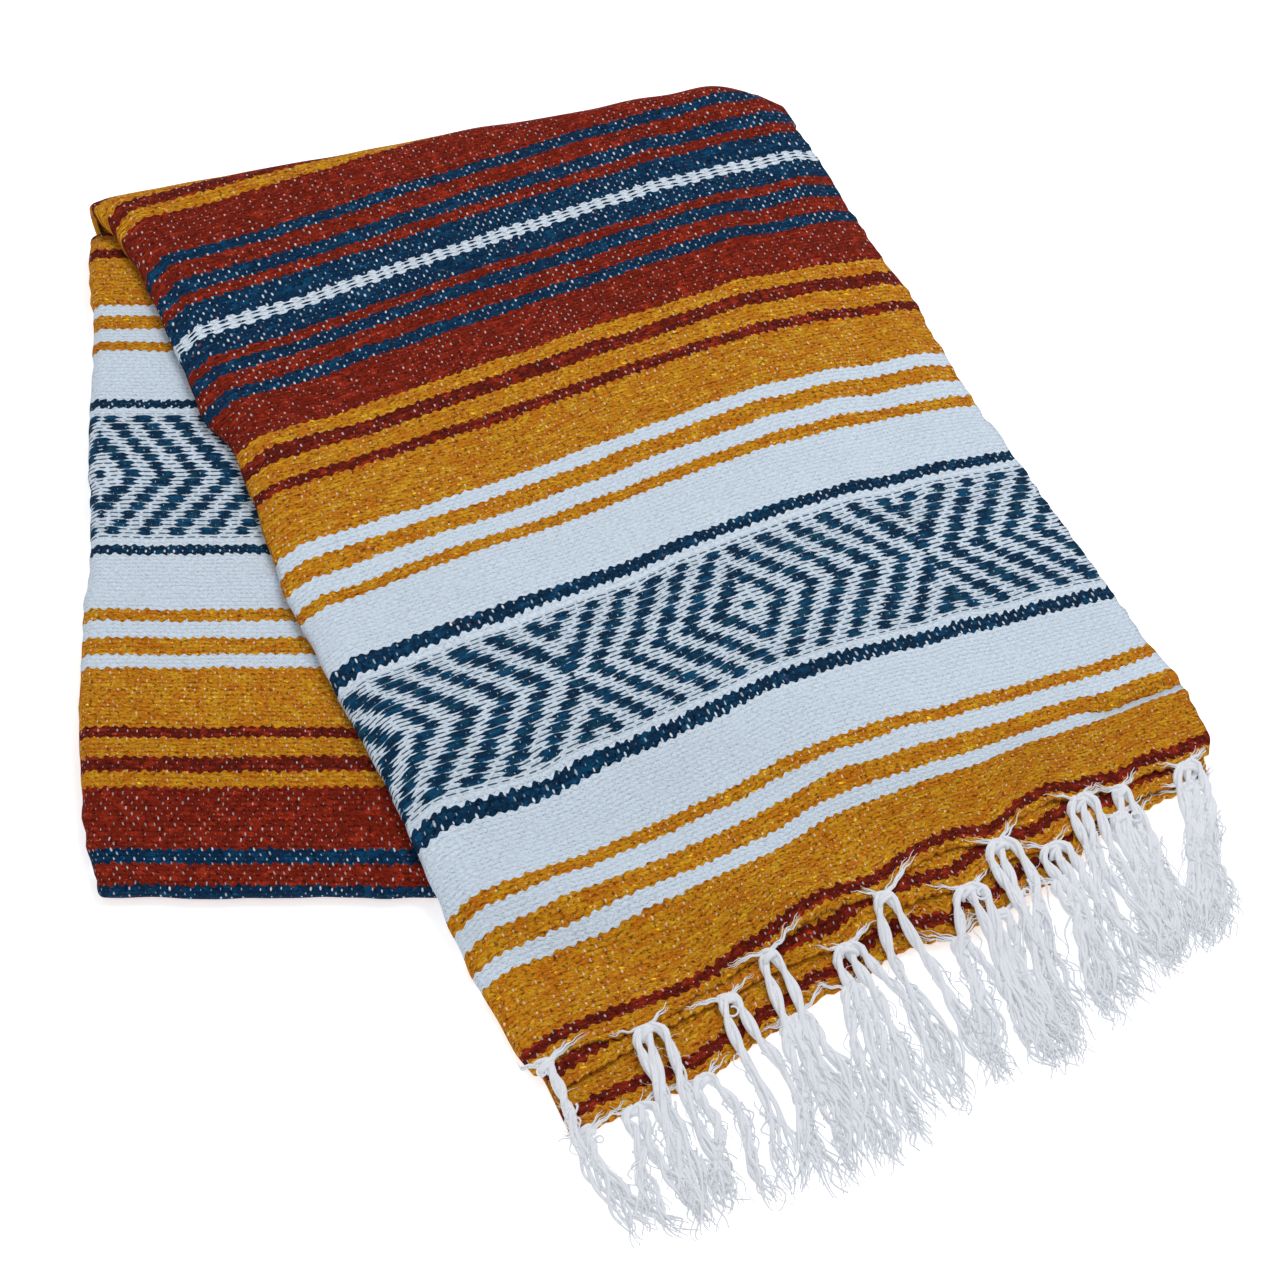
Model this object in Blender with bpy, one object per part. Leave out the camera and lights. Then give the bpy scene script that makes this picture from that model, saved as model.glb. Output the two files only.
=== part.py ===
"""A folded Mexican serape blanket, lying on a flat surface.

One woven panel is folded lengthwise into thirds, then across its length.  The
under leaf ends in a rounded near fold.  The top leaf comes back over it from the
back fold, turned to one side, and ends in three staggered layers with fringe.
All sizes are in metres, with +Z up and the floor at zero.
"""
import math

import bmesh
import bpy

# ---- the cloth ----
WALL = 0.0024            # thickness of one layer of the weave
GAP = 0.0003             # clearance between neighbouring layers
PITCH = WALL + GAP
LEAF_WIDTH = 0.420       # a third of the 1.26 m panel
REST = 0.0010            # clearance between the top leaf and the under leaf

# ---- where the folded blanket stands ----
SHIFT_X = 0.0089         # moves the middle of the model's box onto the origin
SHIFT_Y = -0.0130

# ---- under leaf ----
UNDER_LEFT_X = -0.3066   # its left edge where y is zero
UNDER_LEAN = -0.104      # how far that edge leans for each metre of y
NOSE_Y = -0.1655         # where the near fold starts to turn down
NOSE_STACK = 0.0140      # height of the six layers at the near fold
FULL_RISE = 0.0155       # extra height of the loose stack behind the near fold
RISE_START_Y = -0.160
RISE_RUN = 0.095
BACK_SLOPE = 0.0165      # the stack goes on rising this much for each metre

# ---- how the top leaf falls off the under leaf ----
SIDE_FALL_START = -0.042  # from the under leaf's right edge, where the fall starts
SIDE_FALL_RUN = 0.208
NEAR_FALL_END_Y = -0.2145
NEAR_FALL_RUN = 0.045
REST_FADE = 0.010        # height over which REST fades away beside the stack

# ---- top leaf ----
LEAF_ANGLE = math.radians(24.0)
LEAF_ORIGIN = (0.1288, -0.1816)
LEAF_EDGES = (           # (distance back along the leaf, left edge, right edge)
    (-0.015, -0.2045, 0.2040),
    (0.030, -0.2085, 0.2115),
    (0.100, -0.2120, 0.2110),
    (0.200, -0.2160, 0.2060),
    (0.300, -0.2190, 0.2025),
    (0.400, -0.2145, 0.2000),
    (0.500, -0.2190, 0.1970),
    (0.600, -0.2220, 0.1900),
)
END_BACK = 0.0035        # end of the top layer at the leaf's middle
END_SLANT = 0.078        # how far the end slants for each metre across
SECOND_END = 0.013       # how far the second layer reaches past the first
THIRD_END = 0.033        # and the third
THIRD_END_RIGHT = 0.017  # less at the right edge
LOFT = 0.0025            # air under the top layer, away from its edges
LOFT_EDGE = 0.030

# ---- back fold ----
FOLD_ANGLE = math.radians(14.3)
FOLD_POINT = (-0.331, 0.3085)    # outermost point of the fold at its left end
ROLL_SHARE = 0.32        # radius of the fold, as a share of the height above it
TURN_DEPTH = 0.0215      # the inner layers turn this far before the fold
TURN_MARGIN = 0.0015     # the under leaf stops this far before them
CORNER_DROP = 0.032      # how far the fold's right corner is rounded forward
CORNER_START = 0.160
CORNER_RUN = 0.050
CORNER_CLEAR = 0.024     # the under leaf's right corner stops short of it

# ---- fringe ----
TIP_BACK = -0.122        # line of the fringe's tips
TIP_CUT = 0.061          # how much less it reaches at the right
TIP_CUT_START = 0.030
TIP_CUT_RUN = 0.180
TIP_RIGHT = 0.165        # ends of the line of tips
TIP_LEFT = -0.197
TIP_TAPER = 0.60         # thickness at the tips, as a share of the root's

# ---- mesh density ----
LEAF_COLUMNS = 14
LEAF_ROWS = 20
EDGE_CROWDING = 0.45     # columns are closer together near the leaf's edges
ROW_CROWDING = 1.5       # rows are closer together near each leaf's end
CURL_STEPS = 3
ROLL_ANGLES = (30.0, 60.0, 90.0, 120.0, 150.0)
UNDER_COLUMNS = 12
UNDER_ROWS = 15
NOSE_ANGLES = (30.0, 60.0, 90.0, 120.0, 150.0, 180.0)
SIDE_ANGLES = (150.0, 110.0, 70.0, 30.0)
CURL_SEAM = math.radians(6.0)
FRINGE_STEPS = (0.0, 0.35, 0.7)
END_CUT = math.radians(72.0)

MUSTARD = (0.58, 0.25, 0.012)
BRICK = (0.25, 0.022, 0.012)
OFF_WHITE = (0.76, 0.79, 0.83)


def smooth(value):
    """Ease from zero to one."""
    value = min(max(value, 0.0), 1.0)
    return value * value * (3.0 - 2.0 * value)


def mix(start, end, share):
    return start + (end - start) * share


# ------------------------------------------------------------------ heights

def stack_height(y):
    """Top of the under leaf, away from its side edges."""
    rise = FULL_RISE * smooth((y - RISE_START_Y) / RISE_RUN)
    slope = BACK_SLOPE * max(y - RISE_START_Y - RISE_RUN, 0.0)
    return NOSE_STACK + rise + slope


def under_left(y):
    return UNDER_LEFT_X + UNDER_LEAN * y


def support(x, y):
    """Height of what the top leaf lies on: the under leaf, then the floor."""
    fall_end = under_left(y) + LEAF_WIDTH + SIDE_FALL_START + SIDE_FALL_RUN
    side = smooth((fall_end - x) / SIDE_FALL_RUN)
    near = smooth((y - NEAR_FALL_END_Y) / NEAR_FALL_RUN)
    return stack_height(y) * side * near


def under_top(x, y):
    """Top of the under leaf, with its drooping right edge."""
    return support(x, max(y, NEAR_FALL_END_Y + NEAR_FALL_RUN))


def leaf_underside(x, y):
    height = support(x, y)
    return height + REST * min(1.0, height / REST_FADE)


# --------------------------------------------------------- plan of the leaf

def leaf_plan(back, across):
    x = LEAF_ORIGIN[0] - back * math.sin(LEAF_ANGLE) + across * math.cos(LEAF_ANGLE)
    y = LEAF_ORIGIN[1] + back * math.cos(LEAF_ANGLE) + across * math.sin(LEAF_ANGLE)
    return x, y


def leaf_edges(back):
    """Left and right edge of the leaf at a distance back from its end."""
    rows = LEAF_EDGES
    back = min(max(back, rows[0][0]), rows[-1][0])
    for low, high in zip(rows, rows[1:]):
        if back <= high[0]:
            share = smooth((back - low[0]) / (high[0] - low[0]))
            return mix(low[1], high[1], share), mix(low[2], high[2], share)
    return rows[-1][1], rows[-1][2]


def fold_back(across, before_fold):
    """Distance back at which a column lies this far before the back fold's line."""
    normal = (-math.sin(FOLD_ANGLE), math.cos(FOLD_ANGLE))
    to_line = [origin - point for origin, point in zip(LEAF_ORIGIN, FOLD_POINT)]
    offset = normal[0] * to_line[0] + normal[1] * to_line[1]
    turn = LEAF_ANGLE - FOLD_ANGLE
    corner = CORNER_DROP * (max(across - CORNER_START, 0.0) / CORNER_RUN) ** 2
    return (-before_fold - corner - offset - across * math.sin(turn)) / math.cos(turn)


def roll_radius(across):
    """Radius of the back fold's outer face in this column."""
    x, y = leaf_plan(fold_back(across, 0.015), across)
    return ROLL_SHARE * (leaf_underside(x, y) + 2.0 * PITCH + WALL)


def end_lines(across):
    """Distances back of the three layers' ends, top layer first."""
    first = END_BACK + END_SLANT * across
    third = mix(THIRD_END, THIRD_END_RIGHT, smooth((across - 0.12) / 0.08))
    return first, first - SECOND_END, first - third


def lattice():
    """Rows of (across, back) shared by all that lies in the top leaf and its fringe.

    Returns the rows and the index of each named row, so that every layer is made
    from the same points, moved up.
    """
    curl = layer_curl()
    lines = []
    for column in range(LEAF_COLUMNS + 1):
        share = column / LEAF_COLUMNS
        share -= EDGE_CROWDING * math.sin(2.0 * math.pi * share) / (2.0 * math.pi)
        nominal = mix(LEAF_WIDTH / 2.0, -LEAF_WIDTH / 2.0, share)
        first, second, third = end_lines(nominal)
        tip = TIP_BACK + TIP_CUT * (max(nominal - TIP_CUT_START, 0.0) / TIP_CUT_RUN) ** 2
        backs = [mix(tip, third, step) for step in FRINGE_STEPS]
        backs += [third, second, first]
        start = fold_back(nominal, roll_radius(nominal))
        turn = start - TURN_DEPTH
        backs += [mix(first, turn, (row / LEAF_ROWS) ** ROW_CROWDING)
                  for row in range(1, LEAF_ROWS + 1)]
        backs.append(start)
        points = []
        for index, back in enumerate(backs):
            left, right = leaf_edges(back)
            across = mix(right, left + curl, share)
            if index < len(FRINGE_STEPS):
                tip_across = mix(TIP_RIGHT, TIP_LEFT, share)
                across = mix(tip_across, across, FRINGE_STEPS[index])
            points.append((across, back))
        lines.append(points)
    rows = [list(row) for row in zip(*lines)]
    third_row = len(FRINGE_STEPS)
    named = {
        "third": third_row,
        "second": third_row + 1,
        "first": third_row + 2,
        "turn": third_row + 2 + LEAF_ROWS,
        "fold": third_row + 3 + LEAF_ROWS,
    }
    return rows, named


def layer_curl():
    """Outer radius of the folded left edge of the three layers."""
    return (2.0 * PITCH + WALL) / 2.0


def loft(across, back):
    left, right = leaf_edges(back)
    inside = min(across - left, right - across)
    return LOFT * smooth(inside / LOFT_EDGE) * smooth((back - 0.03) / 0.05)


# ------------------------------------------------------------------- meshes

def make_object(name, builder, colour):
    """One named object with its own material, from a bmesh that a builder fills."""
    mesh = bpy.data.meshes.new(name)
    shape = bmesh.new()
    builder(shape)
    bmesh.ops.remove_doubles(shape, verts=shape.verts, dist=0.00001)
    bmesh.ops.recalc_face_normals(shape, faces=shape.faces)
    bmesh.ops.translate(shape, verts=shape.verts, vec=(SHIFT_X, SHIFT_Y, 0.0))
    shape.to_mesh(mesh)
    shape.free()
    mesh.shade_smooth()
    mesh.set_sharp_from_angle(angle=math.radians(50.0))
    material = bpy.data.materials.new(name + "_cloth")
    material.use_nodes = True
    shader = material.node_tree.nodes["Principled BSDF"]
    shader.inputs["Base Color"].default_value = (*colour, 1.0)
    shader.inputs["Roughness"].default_value = 0.95
    shader.inputs["Metallic"].default_value = 0.0
    mesh.materials.append(material)
    made = bpy.data.objects.new(name, mesh)
    bpy.context.collection.objects.link(made)
    return made


def split_quad(shape, first, second, third, fourth):
    """Two triangles that meet on the line from the first corner to the third."""
    shape.faces.new((first, second, third))
    shape.faces.new((first, third, fourth))


def grid_faces(shape, grid):
    for low, high in zip(grid, grid[1:]):
        for index in range(len(low) - 1):
            split_quad(shape, low[index], low[index + 1], high[index + 1], high[index])


def fill_wall(shape, outer, inner):
    """Close two grids of points into one wall, with a rim along each border."""
    outer = [[shape.verts.new(point) for point in row] for row in outer]
    inner = [[shape.verts.new(point) for point in row] for row in inner]
    grid_faces(shape, outer)
    grid_faces(shape, inner)
    grid_faces(shape, [outer[0], inner[0]])
    grid_faces(shape, [outer[-1], inner[-1]])
    grid_faces(shape, [[row[0] for row in outer], [row[0] for row in inner]])
    grid_faces(shape, [[row[-1] for row in outer], [row[-1] for row in inner]])


def fill_loft(shape, rings):
    """Close a row of rings into one body with capped ends."""
    rings = [[shape.verts.new(point) for point in ring] for ring in rings]
    for low, high in zip(rings, rings[1:]):
        count = len(low)
        for index in range(count):
            following = (index + 1) % count
            split_quad(shape, low[following], high[following], high[index], low[index])
    for ring in (rings[0], rings[-1]):
        shape.faces.new(ring)


# --------------------------------------------------------- top leaf's layers

def leaf_top(across, back):
    """Height of the top leaf's upper face."""
    x, y = leaf_plan(back, across)
    return leaf_underside(x, y) + 2.0 * PITCH + WALL + loft(across, back)


def curl_points(radius, angles):
    """Offsets (across, depth) around the folded edge, from its outermost line."""
    middle = layer_curl()
    return [(middle - radius * math.sin(angle), middle - radius * math.cos(angle))
            for angle in angles]


def leaf_row(row, offsets, depth, lofted):
    """Points of one row: a flat run at a depth, then around the left edge."""
    points = []
    for across, back in row:
        x, y = leaf_plan(back, across)
        base = leaf_underside(x, y) + 2.0 * PITCH + WALL
        lift = loft(across, back) if lofted else 0.0
        points.append((x, y, base + lift - depth))
    edge, back = row[-1][0] - layer_curl(), row[-1][1]
    for inward, drop in offsets:
        x, y = leaf_plan(back, edge + inward)
        base = leaf_underside(x, y) + 2.0 * PITCH + WALL
        points.append((x, y, base - drop))
    return points


def roll_row(row, offsets, depth, angle):
    """Points of one row around the back fold, at an angle from its top."""
    turn = math.cos(LEAF_ANGLE - FOLD_ANGLE)
    edge = row[-1][0] - layer_curl()
    columns = [(across, depth) for across, _ in row]
    columns += [(edge + inward, drop) for inward, drop in offsets]
    backs = [back for _, back in row] + [row[-1][1]] * len(offsets)
    points = []
    for (across, below), back in zip(columns, backs):
        radius = roll_radius(across)
        centre = leaf_top(across, back) - radius
        reach = (radius - below) * math.sin(angle) / turn
        x, y = leaf_plan(back + reach, across)
        points.append((x, y, centre + (radius - below) * math.cos(angle)))
    return points


def build_top_layer(shape):
    """Outer layer of the top leaf, its left fold and the whole back fold."""
    rows, named = lattice()
    angles = [step / CURL_STEPS * (math.pi / 2.0 - CURL_SEAM)
              for step in range(1, CURL_STEPS + 1)]
    outside = curl_points(layer_curl(), angles)
    inside = curl_points(layer_curl() - WALL, angles)
    used = rows[named["first"]:named["fold"] + 1]
    outer = [leaf_row(row, outside, 0.0, True) for row in used]
    inner = [leaf_row(row, inside, WALL, True) for row in used]
    for degrees in ROLL_ANGLES:
        angle = math.radians(degrees)
        outer.append(roll_row(rows[named["fold"]], outside, 0.0, angle))
        inner.append(roll_row(rows[named["fold"]], inside, WALL, angle))
    fill_wall(shape, outer, inner)


def build_middle_layer(shape):
    """Second layer of the top leaf, which shows at the fringe end."""
    rows, named = lattice()
    used = rows[named["second"]:named["turn"] + 1]
    outer = [leaf_row(row, [], PITCH, False) for row in used]
    inner = [leaf_row(row, [], PITCH + WALL, False) for row in used]
    fill_wall(shape, outer, inner)


def build_low_layer(shape):
    """Third layer of the top leaf, with the lower half of the left fold."""
    rows, named = lattice()
    first_angle = math.pi / 2.0 + CURL_SEAM
    angles = [mix(math.pi, first_angle, step / CURL_STEPS)
              for step in range(1, CURL_STEPS + 1)]
    outside = curl_points(layer_curl(), angles)
    inside = curl_points(layer_curl() - WALL, angles)
    used = rows[named["third"]:named["turn"] + 1]
    outer = [leaf_row(row, inside, 2.0 * PITCH, False) for row in used]
    inner = [leaf_row(row, outside, 2.0 * PITCH + WALL, False) for row in used]
    fill_wall(shape, outer, inner)


def fringe_builder(level, root):
    """Builder for the plain reach of one layer's fringe."""
    def build(shape):
        rows, named = lattice()
        used = rows[:named[root] + 1]
        upper, lower = [], []
        for index, row in enumerate(used):
            share = 1.0
            if index < len(FRINGE_STEPS):
                share = mix(TIP_TAPER, 1.0, FRINGE_STEPS[index])
            back_off = GAP if index == len(used) - 1 else 0.0
            top_row, low_row = [], []
            for across, back in row:
                x, y = leaf_plan(back - back_off, across)
                low = leaf_underside(x, y) + level * (WALL * share + GAP)
                low_row.append((x, y, low))
                top_row.append((x, y, low + WALL * share))
            upper.append(top_row)
            lower.append(low_row)
        fill_wall(shape, upper, lower)
    return build


# ------------------------------------------------------ under leaf and core

def turn_line(x):
    """Where the inner layers turn up into the back fold."""
    slope = math.tan(FOLD_ANGLE)
    before = (TURN_DEPTH + ROLL_SHARE * 0.045) / math.cos(FOLD_ANGLE)
    return FOLD_POINT[1] + slope * (x - FOLD_POINT[0]) - before


def under_plan(share, row_share):
    """Plan position in the under leaf: share across it, row_share back along it."""
    row_share = row_share ** ROW_CROWDING
    far_x = under_left(FOLD_POINT[1]) + share * LEAF_WIDTH
    far_y = turn_line(far_x) - TURN_MARGIN - CORNER_CLEAR * share
    y = mix(NOSE_Y, far_y, row_share)
    return under_left(y) + share * LEAF_WIDTH, y


def under_section(row_share, inset):
    """Section of the under leaf as (x, y, top height, depth) from right to left."""
    left_x, left_y = under_plan(0.0, row_share)
    right_x, right_y = under_plan(1.0, row_share)
    points = []
    for side, edge_x, edge_y in ((1.0, right_x, right_y), (-1.0, left_x, left_y)):
        height = under_top(edge_x, edge_y)
        radius = height / 4.0
        run = []
        for degrees in SIDE_ANGLES:
            angle = math.radians(degrees)
            reach = (radius - inset) * math.sin(angle)
            drop = radius - (radius - inset) * math.cos(angle)
            run.append((edge_x - side * (radius - reach), edge_y, height, drop))
        points.append(run)
    right_run, left_run = points
    flat = []
    right_in = right_run[-1][2] / 4.0
    left_in = left_run[-1][2] / 4.0
    for column in range(UNDER_COLUMNS + 1):
        share = column / UNDER_COLUMNS
        x = mix(right_x - right_in, left_x + left_in, share)
        y = mix(right_y, left_y, share)
        flat.append((x, y, under_top(x, y), inset))
    return right_run + flat + left_run[::-1]


def build_under_leaf(shape):
    """Outer layer of the under leaf, with its side folds and the near fold."""
    grids = []
    for inset in (0.0, WALL):
        grid = []
        for degrees in reversed(NOSE_ANGLES):
            angle = math.radians(degrees)
            row = []
            for x, y, height, depth in under_section(0.0, inset):
                radius = height / 2.0
                row.append((x, y - (radius - depth) * math.sin(angle),
                            radius + (radius - depth) * math.cos(angle)))
            grid.append(row)
        for step in range(UNDER_ROWS + 1):
            section = under_section(step / UNDER_ROWS, inset)
            grid.append([(x, y, height - depth) for x, y, height, depth in section])
        grids.append(grid)
    fill_wall(shape, grids[0], grids[1])


def layered_ring(left, right, top, squash, middle):
    """Ring of the hidden layers in plan line left-right, with two folds a side."""
    clear = WALL + GAP
    ring = []
    for (x, y, height), side in ((left, 1.0), (right, -1.0)):
        radius = height / 4.0
        side_points = [(0.0, radius + 0.004)]
        for degrees in (30.0, 60.0, 90.0, 120.0, 150.0):
            angle = math.radians(degrees)
            side_points.append((radius - radius * math.cos(angle),
                                radius + GAP - radius * math.sin(angle)))
        side_points.append((height / 2.0, radius + 0.003))
        small = radius - clear
        for degrees in SIDE_ANGLES:
            angle = math.radians(degrees)
            side_points.append((3.0 * radius + small * math.cos(angle),
                                radius - small * math.sin(angle)))
        points = [(x + side * inward, y, middle + (up - middle) * squash)
                  for up, inward in side_points]
        ring.append(points)
    upper = [(x, y, middle + (height - clear - middle) * squash) for x, y, height in top]
    return ring[0] + upper + ring[1][::-1]


def core_ring(start_share, y_shift, height_of, squash=1.0, middle=0.0):
    """One ring of the hidden layers across the under leaf."""
    left_x, left_y = under_plan(0.0, start_share)
    right_x, right_y = under_plan(1.0, start_share)
    left = (left_x, left_y + y_shift, height_of(left_x, left_y))
    right = (right_x, right_y + y_shift, height_of(right_x, right_y))
    left_in = left[0] + left[2] / 4.0
    right_in = right[0] - right[2] / 4.0
    top = []
    for column in range(UNDER_COLUMNS, -1, -1):
        share = column / UNDER_COLUMNS
        x = mix(right_in, left_in, share)
        y = mix(right_y, left_y, share)
        top.append((x, y + y_shift, height_of(x, y)))
    return layered_ring(left, right, top, squash, middle)


def low_roll_height(x, y):
    """Height of the lowest leaf under the back fold."""
    return leaf_underside(x, y) * (1.0 - 2.0 * ROLL_SHARE) + WALL


def build_core_slab(shape):
    """Hidden layers under the under leaf, with the lowest leaf's own back fold."""
    rings = []
    for step in range(UNDER_ROWS + 1):
        shift = 2.0 * GAP if step == 0 else 0.0
        rings.append(core_ring(step / UNDER_ROWS, shift, under_top))
    reach = TURN_DEPTH + ROLL_SHARE * 0.045
    half = 0.0075
    for angle in (0.0, END_CUT / 2.0, END_CUT):
        shift = reach - half + half * math.sin(angle)
        rings.append(core_ring(1.0, shift, low_roll_height, math.cos(angle), half))
    rings.insert(UNDER_ROWS + 1, core_ring(1.0, 0.002, low_roll_height))
    fill_loft(shape, rings)


def inside_ends(row):
    """A row's points, with its two ends brought in from the leaf's edges."""
    inner_right = [mix(near, far, 0.16) for near, far in zip(row[0], row[1])]
    inner_left = [mix(near, far, 0.03) for near, far in zip(row[-1], row[-2])]
    return [inner_right] + row[1:-1] + [inner_left]


def build_core_roll(shape):
    """Hidden layers inside the back fold."""
    rows, named = lattice()
    clear = WALL + 3.0 * GAP
    bottom = 0.008
    rings = []
    for turn_point, fold_point in zip(inside_ends(rows[named["turn"]]),
                                      inside_ends(rows[named["fold"]])):
        across, turn_back = turn_point[0], turn_point[1] + 2.0 * GAP
        fold_across, start = fold_point
        radius = roll_radius(fold_across)
        centre = leaf_top(fold_across, start) - radius
        ring = [(across, turn_back, bottom),
                (across, turn_back, leaf_top(across, turn_back) - clear),
                (fold_across, start, leaf_top(fold_across, start) - clear)]
        for degrees in ROLL_ANGLES:
            angle = math.radians(degrees)
            reach = (radius - clear) * math.sin(angle)
            ring.append((fold_across, start + reach,
                         centre + (radius - clear) * math.cos(angle)))
        ring.append((fold_across, start, bottom))
        rings.append([(*leaf_plan(back, side), up) for side, back, up in ring])
    fill_loft(shape, rings)


def build_hidden_layers():
    """One rounded solid for all the hidden layers."""
    slab = make_object("hidden_layers", build_core_slab, BRICK)
    roll = make_object("hidden_roll", build_core_roll, BRICK)
    union = slab.modifiers.new("join_roll", "BOOLEAN")
    union.operation = "UNION"
    union.solver = "MANIFOLD"
    union.object = roll
    roll.hide_render = True
    roll.display_type = "WIRE"


def main():
    for old in list(bpy.data.objects):
        bpy.data.objects.remove(old)
    make_object("top_leaf_outer", build_top_layer, MUSTARD)
    make_object("top_leaf_middle", build_middle_layer, MUSTARD)
    make_object("top_leaf_inner", build_low_layer, MUSTARD)
    make_object("under_leaf_outer", build_under_leaf, BRICK)
    build_hidden_layers()
    make_object("fringe_outer", fringe_builder(2, "first"), OFF_WHITE)
    make_object("fringe_middle", fringe_builder(1, "second"), OFF_WHITE)
    make_object("fringe_inner", fringe_builder(0, "third"), OFF_WHITE)


main()
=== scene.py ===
"""Looks of a folded Mexican serape blanket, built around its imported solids.

The cloth is a set of thin shells on the forms of the CAD nodes.  Each shell carries
the cloth's own coordinates in metres as a UV map: u across the panel, along the weft,
and v along its length, along the warp.  The woven pattern is worked out from them.
The top leaf is laid out by two more coordinates: back, the distance from its fringed
end towards its fold, and across, the distance to the right of its middle line.
"""
import math

import bpy
import numpy as np
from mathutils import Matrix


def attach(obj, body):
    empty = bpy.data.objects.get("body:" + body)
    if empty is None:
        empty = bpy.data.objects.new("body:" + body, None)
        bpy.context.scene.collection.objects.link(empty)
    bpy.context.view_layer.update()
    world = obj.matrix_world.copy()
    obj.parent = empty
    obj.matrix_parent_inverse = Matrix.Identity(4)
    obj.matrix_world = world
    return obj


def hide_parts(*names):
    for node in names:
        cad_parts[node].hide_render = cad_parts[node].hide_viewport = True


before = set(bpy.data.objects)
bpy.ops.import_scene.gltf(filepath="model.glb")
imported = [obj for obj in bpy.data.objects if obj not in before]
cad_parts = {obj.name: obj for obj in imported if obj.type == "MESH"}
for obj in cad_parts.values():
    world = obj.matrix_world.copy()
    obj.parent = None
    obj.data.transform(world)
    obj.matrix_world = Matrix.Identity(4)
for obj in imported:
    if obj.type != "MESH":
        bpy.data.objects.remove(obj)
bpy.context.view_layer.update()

# ------------------------------------------------------------ sizes, in metres

SHIFT = np.array([0.0089, -0.0130, 0.0])   # from the fold's own frame to the part's
WALL = 0.0024
GAP = 0.0003
PITCH = WALL + GAP
LEAF_WIDTH = 0.420
REST = 0.0010            # between the under leaf and what lies on it
STACK = 2.0 * PITCH + WALL
CURL = STACK / 2.0       # radius of the top leaf's folded left edge

# The under leaf and the stack of layers in it.
UNDER_LEFT_X = -0.3066
UNDER_LEAN = -0.104
NOSE_Y = -0.1633
NEAR_HEIGHT = 0.0140
NEAR_RISE = 0.0155
BACK_SLOPE = 0.0165

# The top leaf, which is turned on the under leaf, and the back fold between them.
LEAF_ANGLE = math.radians(24.0)
LEAF_ORIGIN = (0.1288, -0.1816)
LOFT = 0.0028            # how far the leaf swells above its layers
LOFT_EDGE = 0.016
FOLD_ANGLE = math.radians(14.3)
FOLD_POINT = (-0.331, 0.3085)
FOLD_TURN = math.cos(LEAF_ANGLE - FOLD_ANGLE)
ROLL_SHARE = 0.32        # radius of the back fold, as a share of the height there
TURN_DEPTH = 0.0215
TURN_REACH = TURN_DEPTH + ROLL_SHARE * 0.045
CORNER_START = 0.160     # where the back fold's right corner begins to round off
CORNER_RUN = 0.050
TURN_MARGIN = 0.0015
CORNER_CLEAR = 0.024
TUCK_BACK = 0.0635       # the tuck near the fringe end's right corner
SMEAR = 0.6590           # no place on the back fold lies further along the cloth

# The weave: one weft row, and one repeat of the staggered warp dots.
ROW = 0.0027
WARP = 0.0052
FLOAT = 0.0056           # height of the figured band's floats
FIGURE_PERIOD = 0.2100
FIGURE_BAR = 0.0182
FIGURE_SLOPE = 0.77
SLIT = 0.0062            # length of the slits between the figured band's floats
DASH_ROW = 0.0031        # height of a row of the dashed band, and length of its floats
DASH = 0.0084
FIRST_FIGURE = 0.196     # centre of the first figured band, from the cloth's end
HALF_REPEAT = 0.30275    # from the centre of a figured band to the dashed band's

# The places in the tables below were read off the photo, and scratch scripts worked
# out these values from them: see report.md.
# Leaf outline: distance back from the leaf's end, and place across.
LEFT_EDGE = np.array([
    (-0.0149, -0.2024), (0.0079, -0.2072), (0.0581, -0.2107), (0.0902, -0.2123),
    (0.1439, -0.2120), (0.2404, -0.2181), (0.3042, -0.2207), (0.3300, -0.2179),
    (0.3717, -0.2148), (0.4103, -0.2127), (0.4363, -0.2205), (0.4852, -0.2191),
    (0.5585, -0.2182), (0.5941, -0.2228), (0.6250, -0.2312),
])
RIGHT_EDGE = np.array([
    (0.0144, 0.2031), (0.0318, 0.2105), (0.0648, 0.2136), (0.0987, 0.2110),
    (0.1433, 0.2095), (0.2470, 0.2048), (0.2922, 0.2007), (0.3257, 0.2013),
    (0.3703, 0.2026), (0.4032, 0.1995), (0.4373, 0.1972), (0.4881, 0.1973),
    (0.5249, 0.1942), (0.6000, 0.1900),
])
# Where the pattern lies on the top leaf: place along the cloth, then the distance
# back at the leaf's left and right edges.
TOP_PATTERN = np.array([
    (-0.020, -0.0330, -0.0030), (0.015, 0.0025, 0.0241), (0.0215, 0.0079, 0.0318),
    (0.0605, 0.0485, 0.0621), (0.1025, 0.0902, 0.0987), (0.1415, 0.1328, 0.1350),
    (0.1485, 0.1439, 0.1433), (0.2435, 0.2280, 0.2400), (0.2505, 0.2404, 0.2470),
    (0.2980, 0.2898, 0.2922), (0.3315, 0.3300, 0.3257), (0.3705, 0.3717, 0.3613),
    (0.4090, 0.4103, 0.4032), (0.4430, 0.4363, 0.4373), (0.4790, 0.4688, 0.4750),
    (0.5035, 0.4952, 0.4976), (0.5285, 0.5244, 0.5249), (0.5595, 0.5585, 0.5560),
    (0.5935, 0.5941, 0.5900), (0.7535, 0.7541, 0.7500),
])
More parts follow.
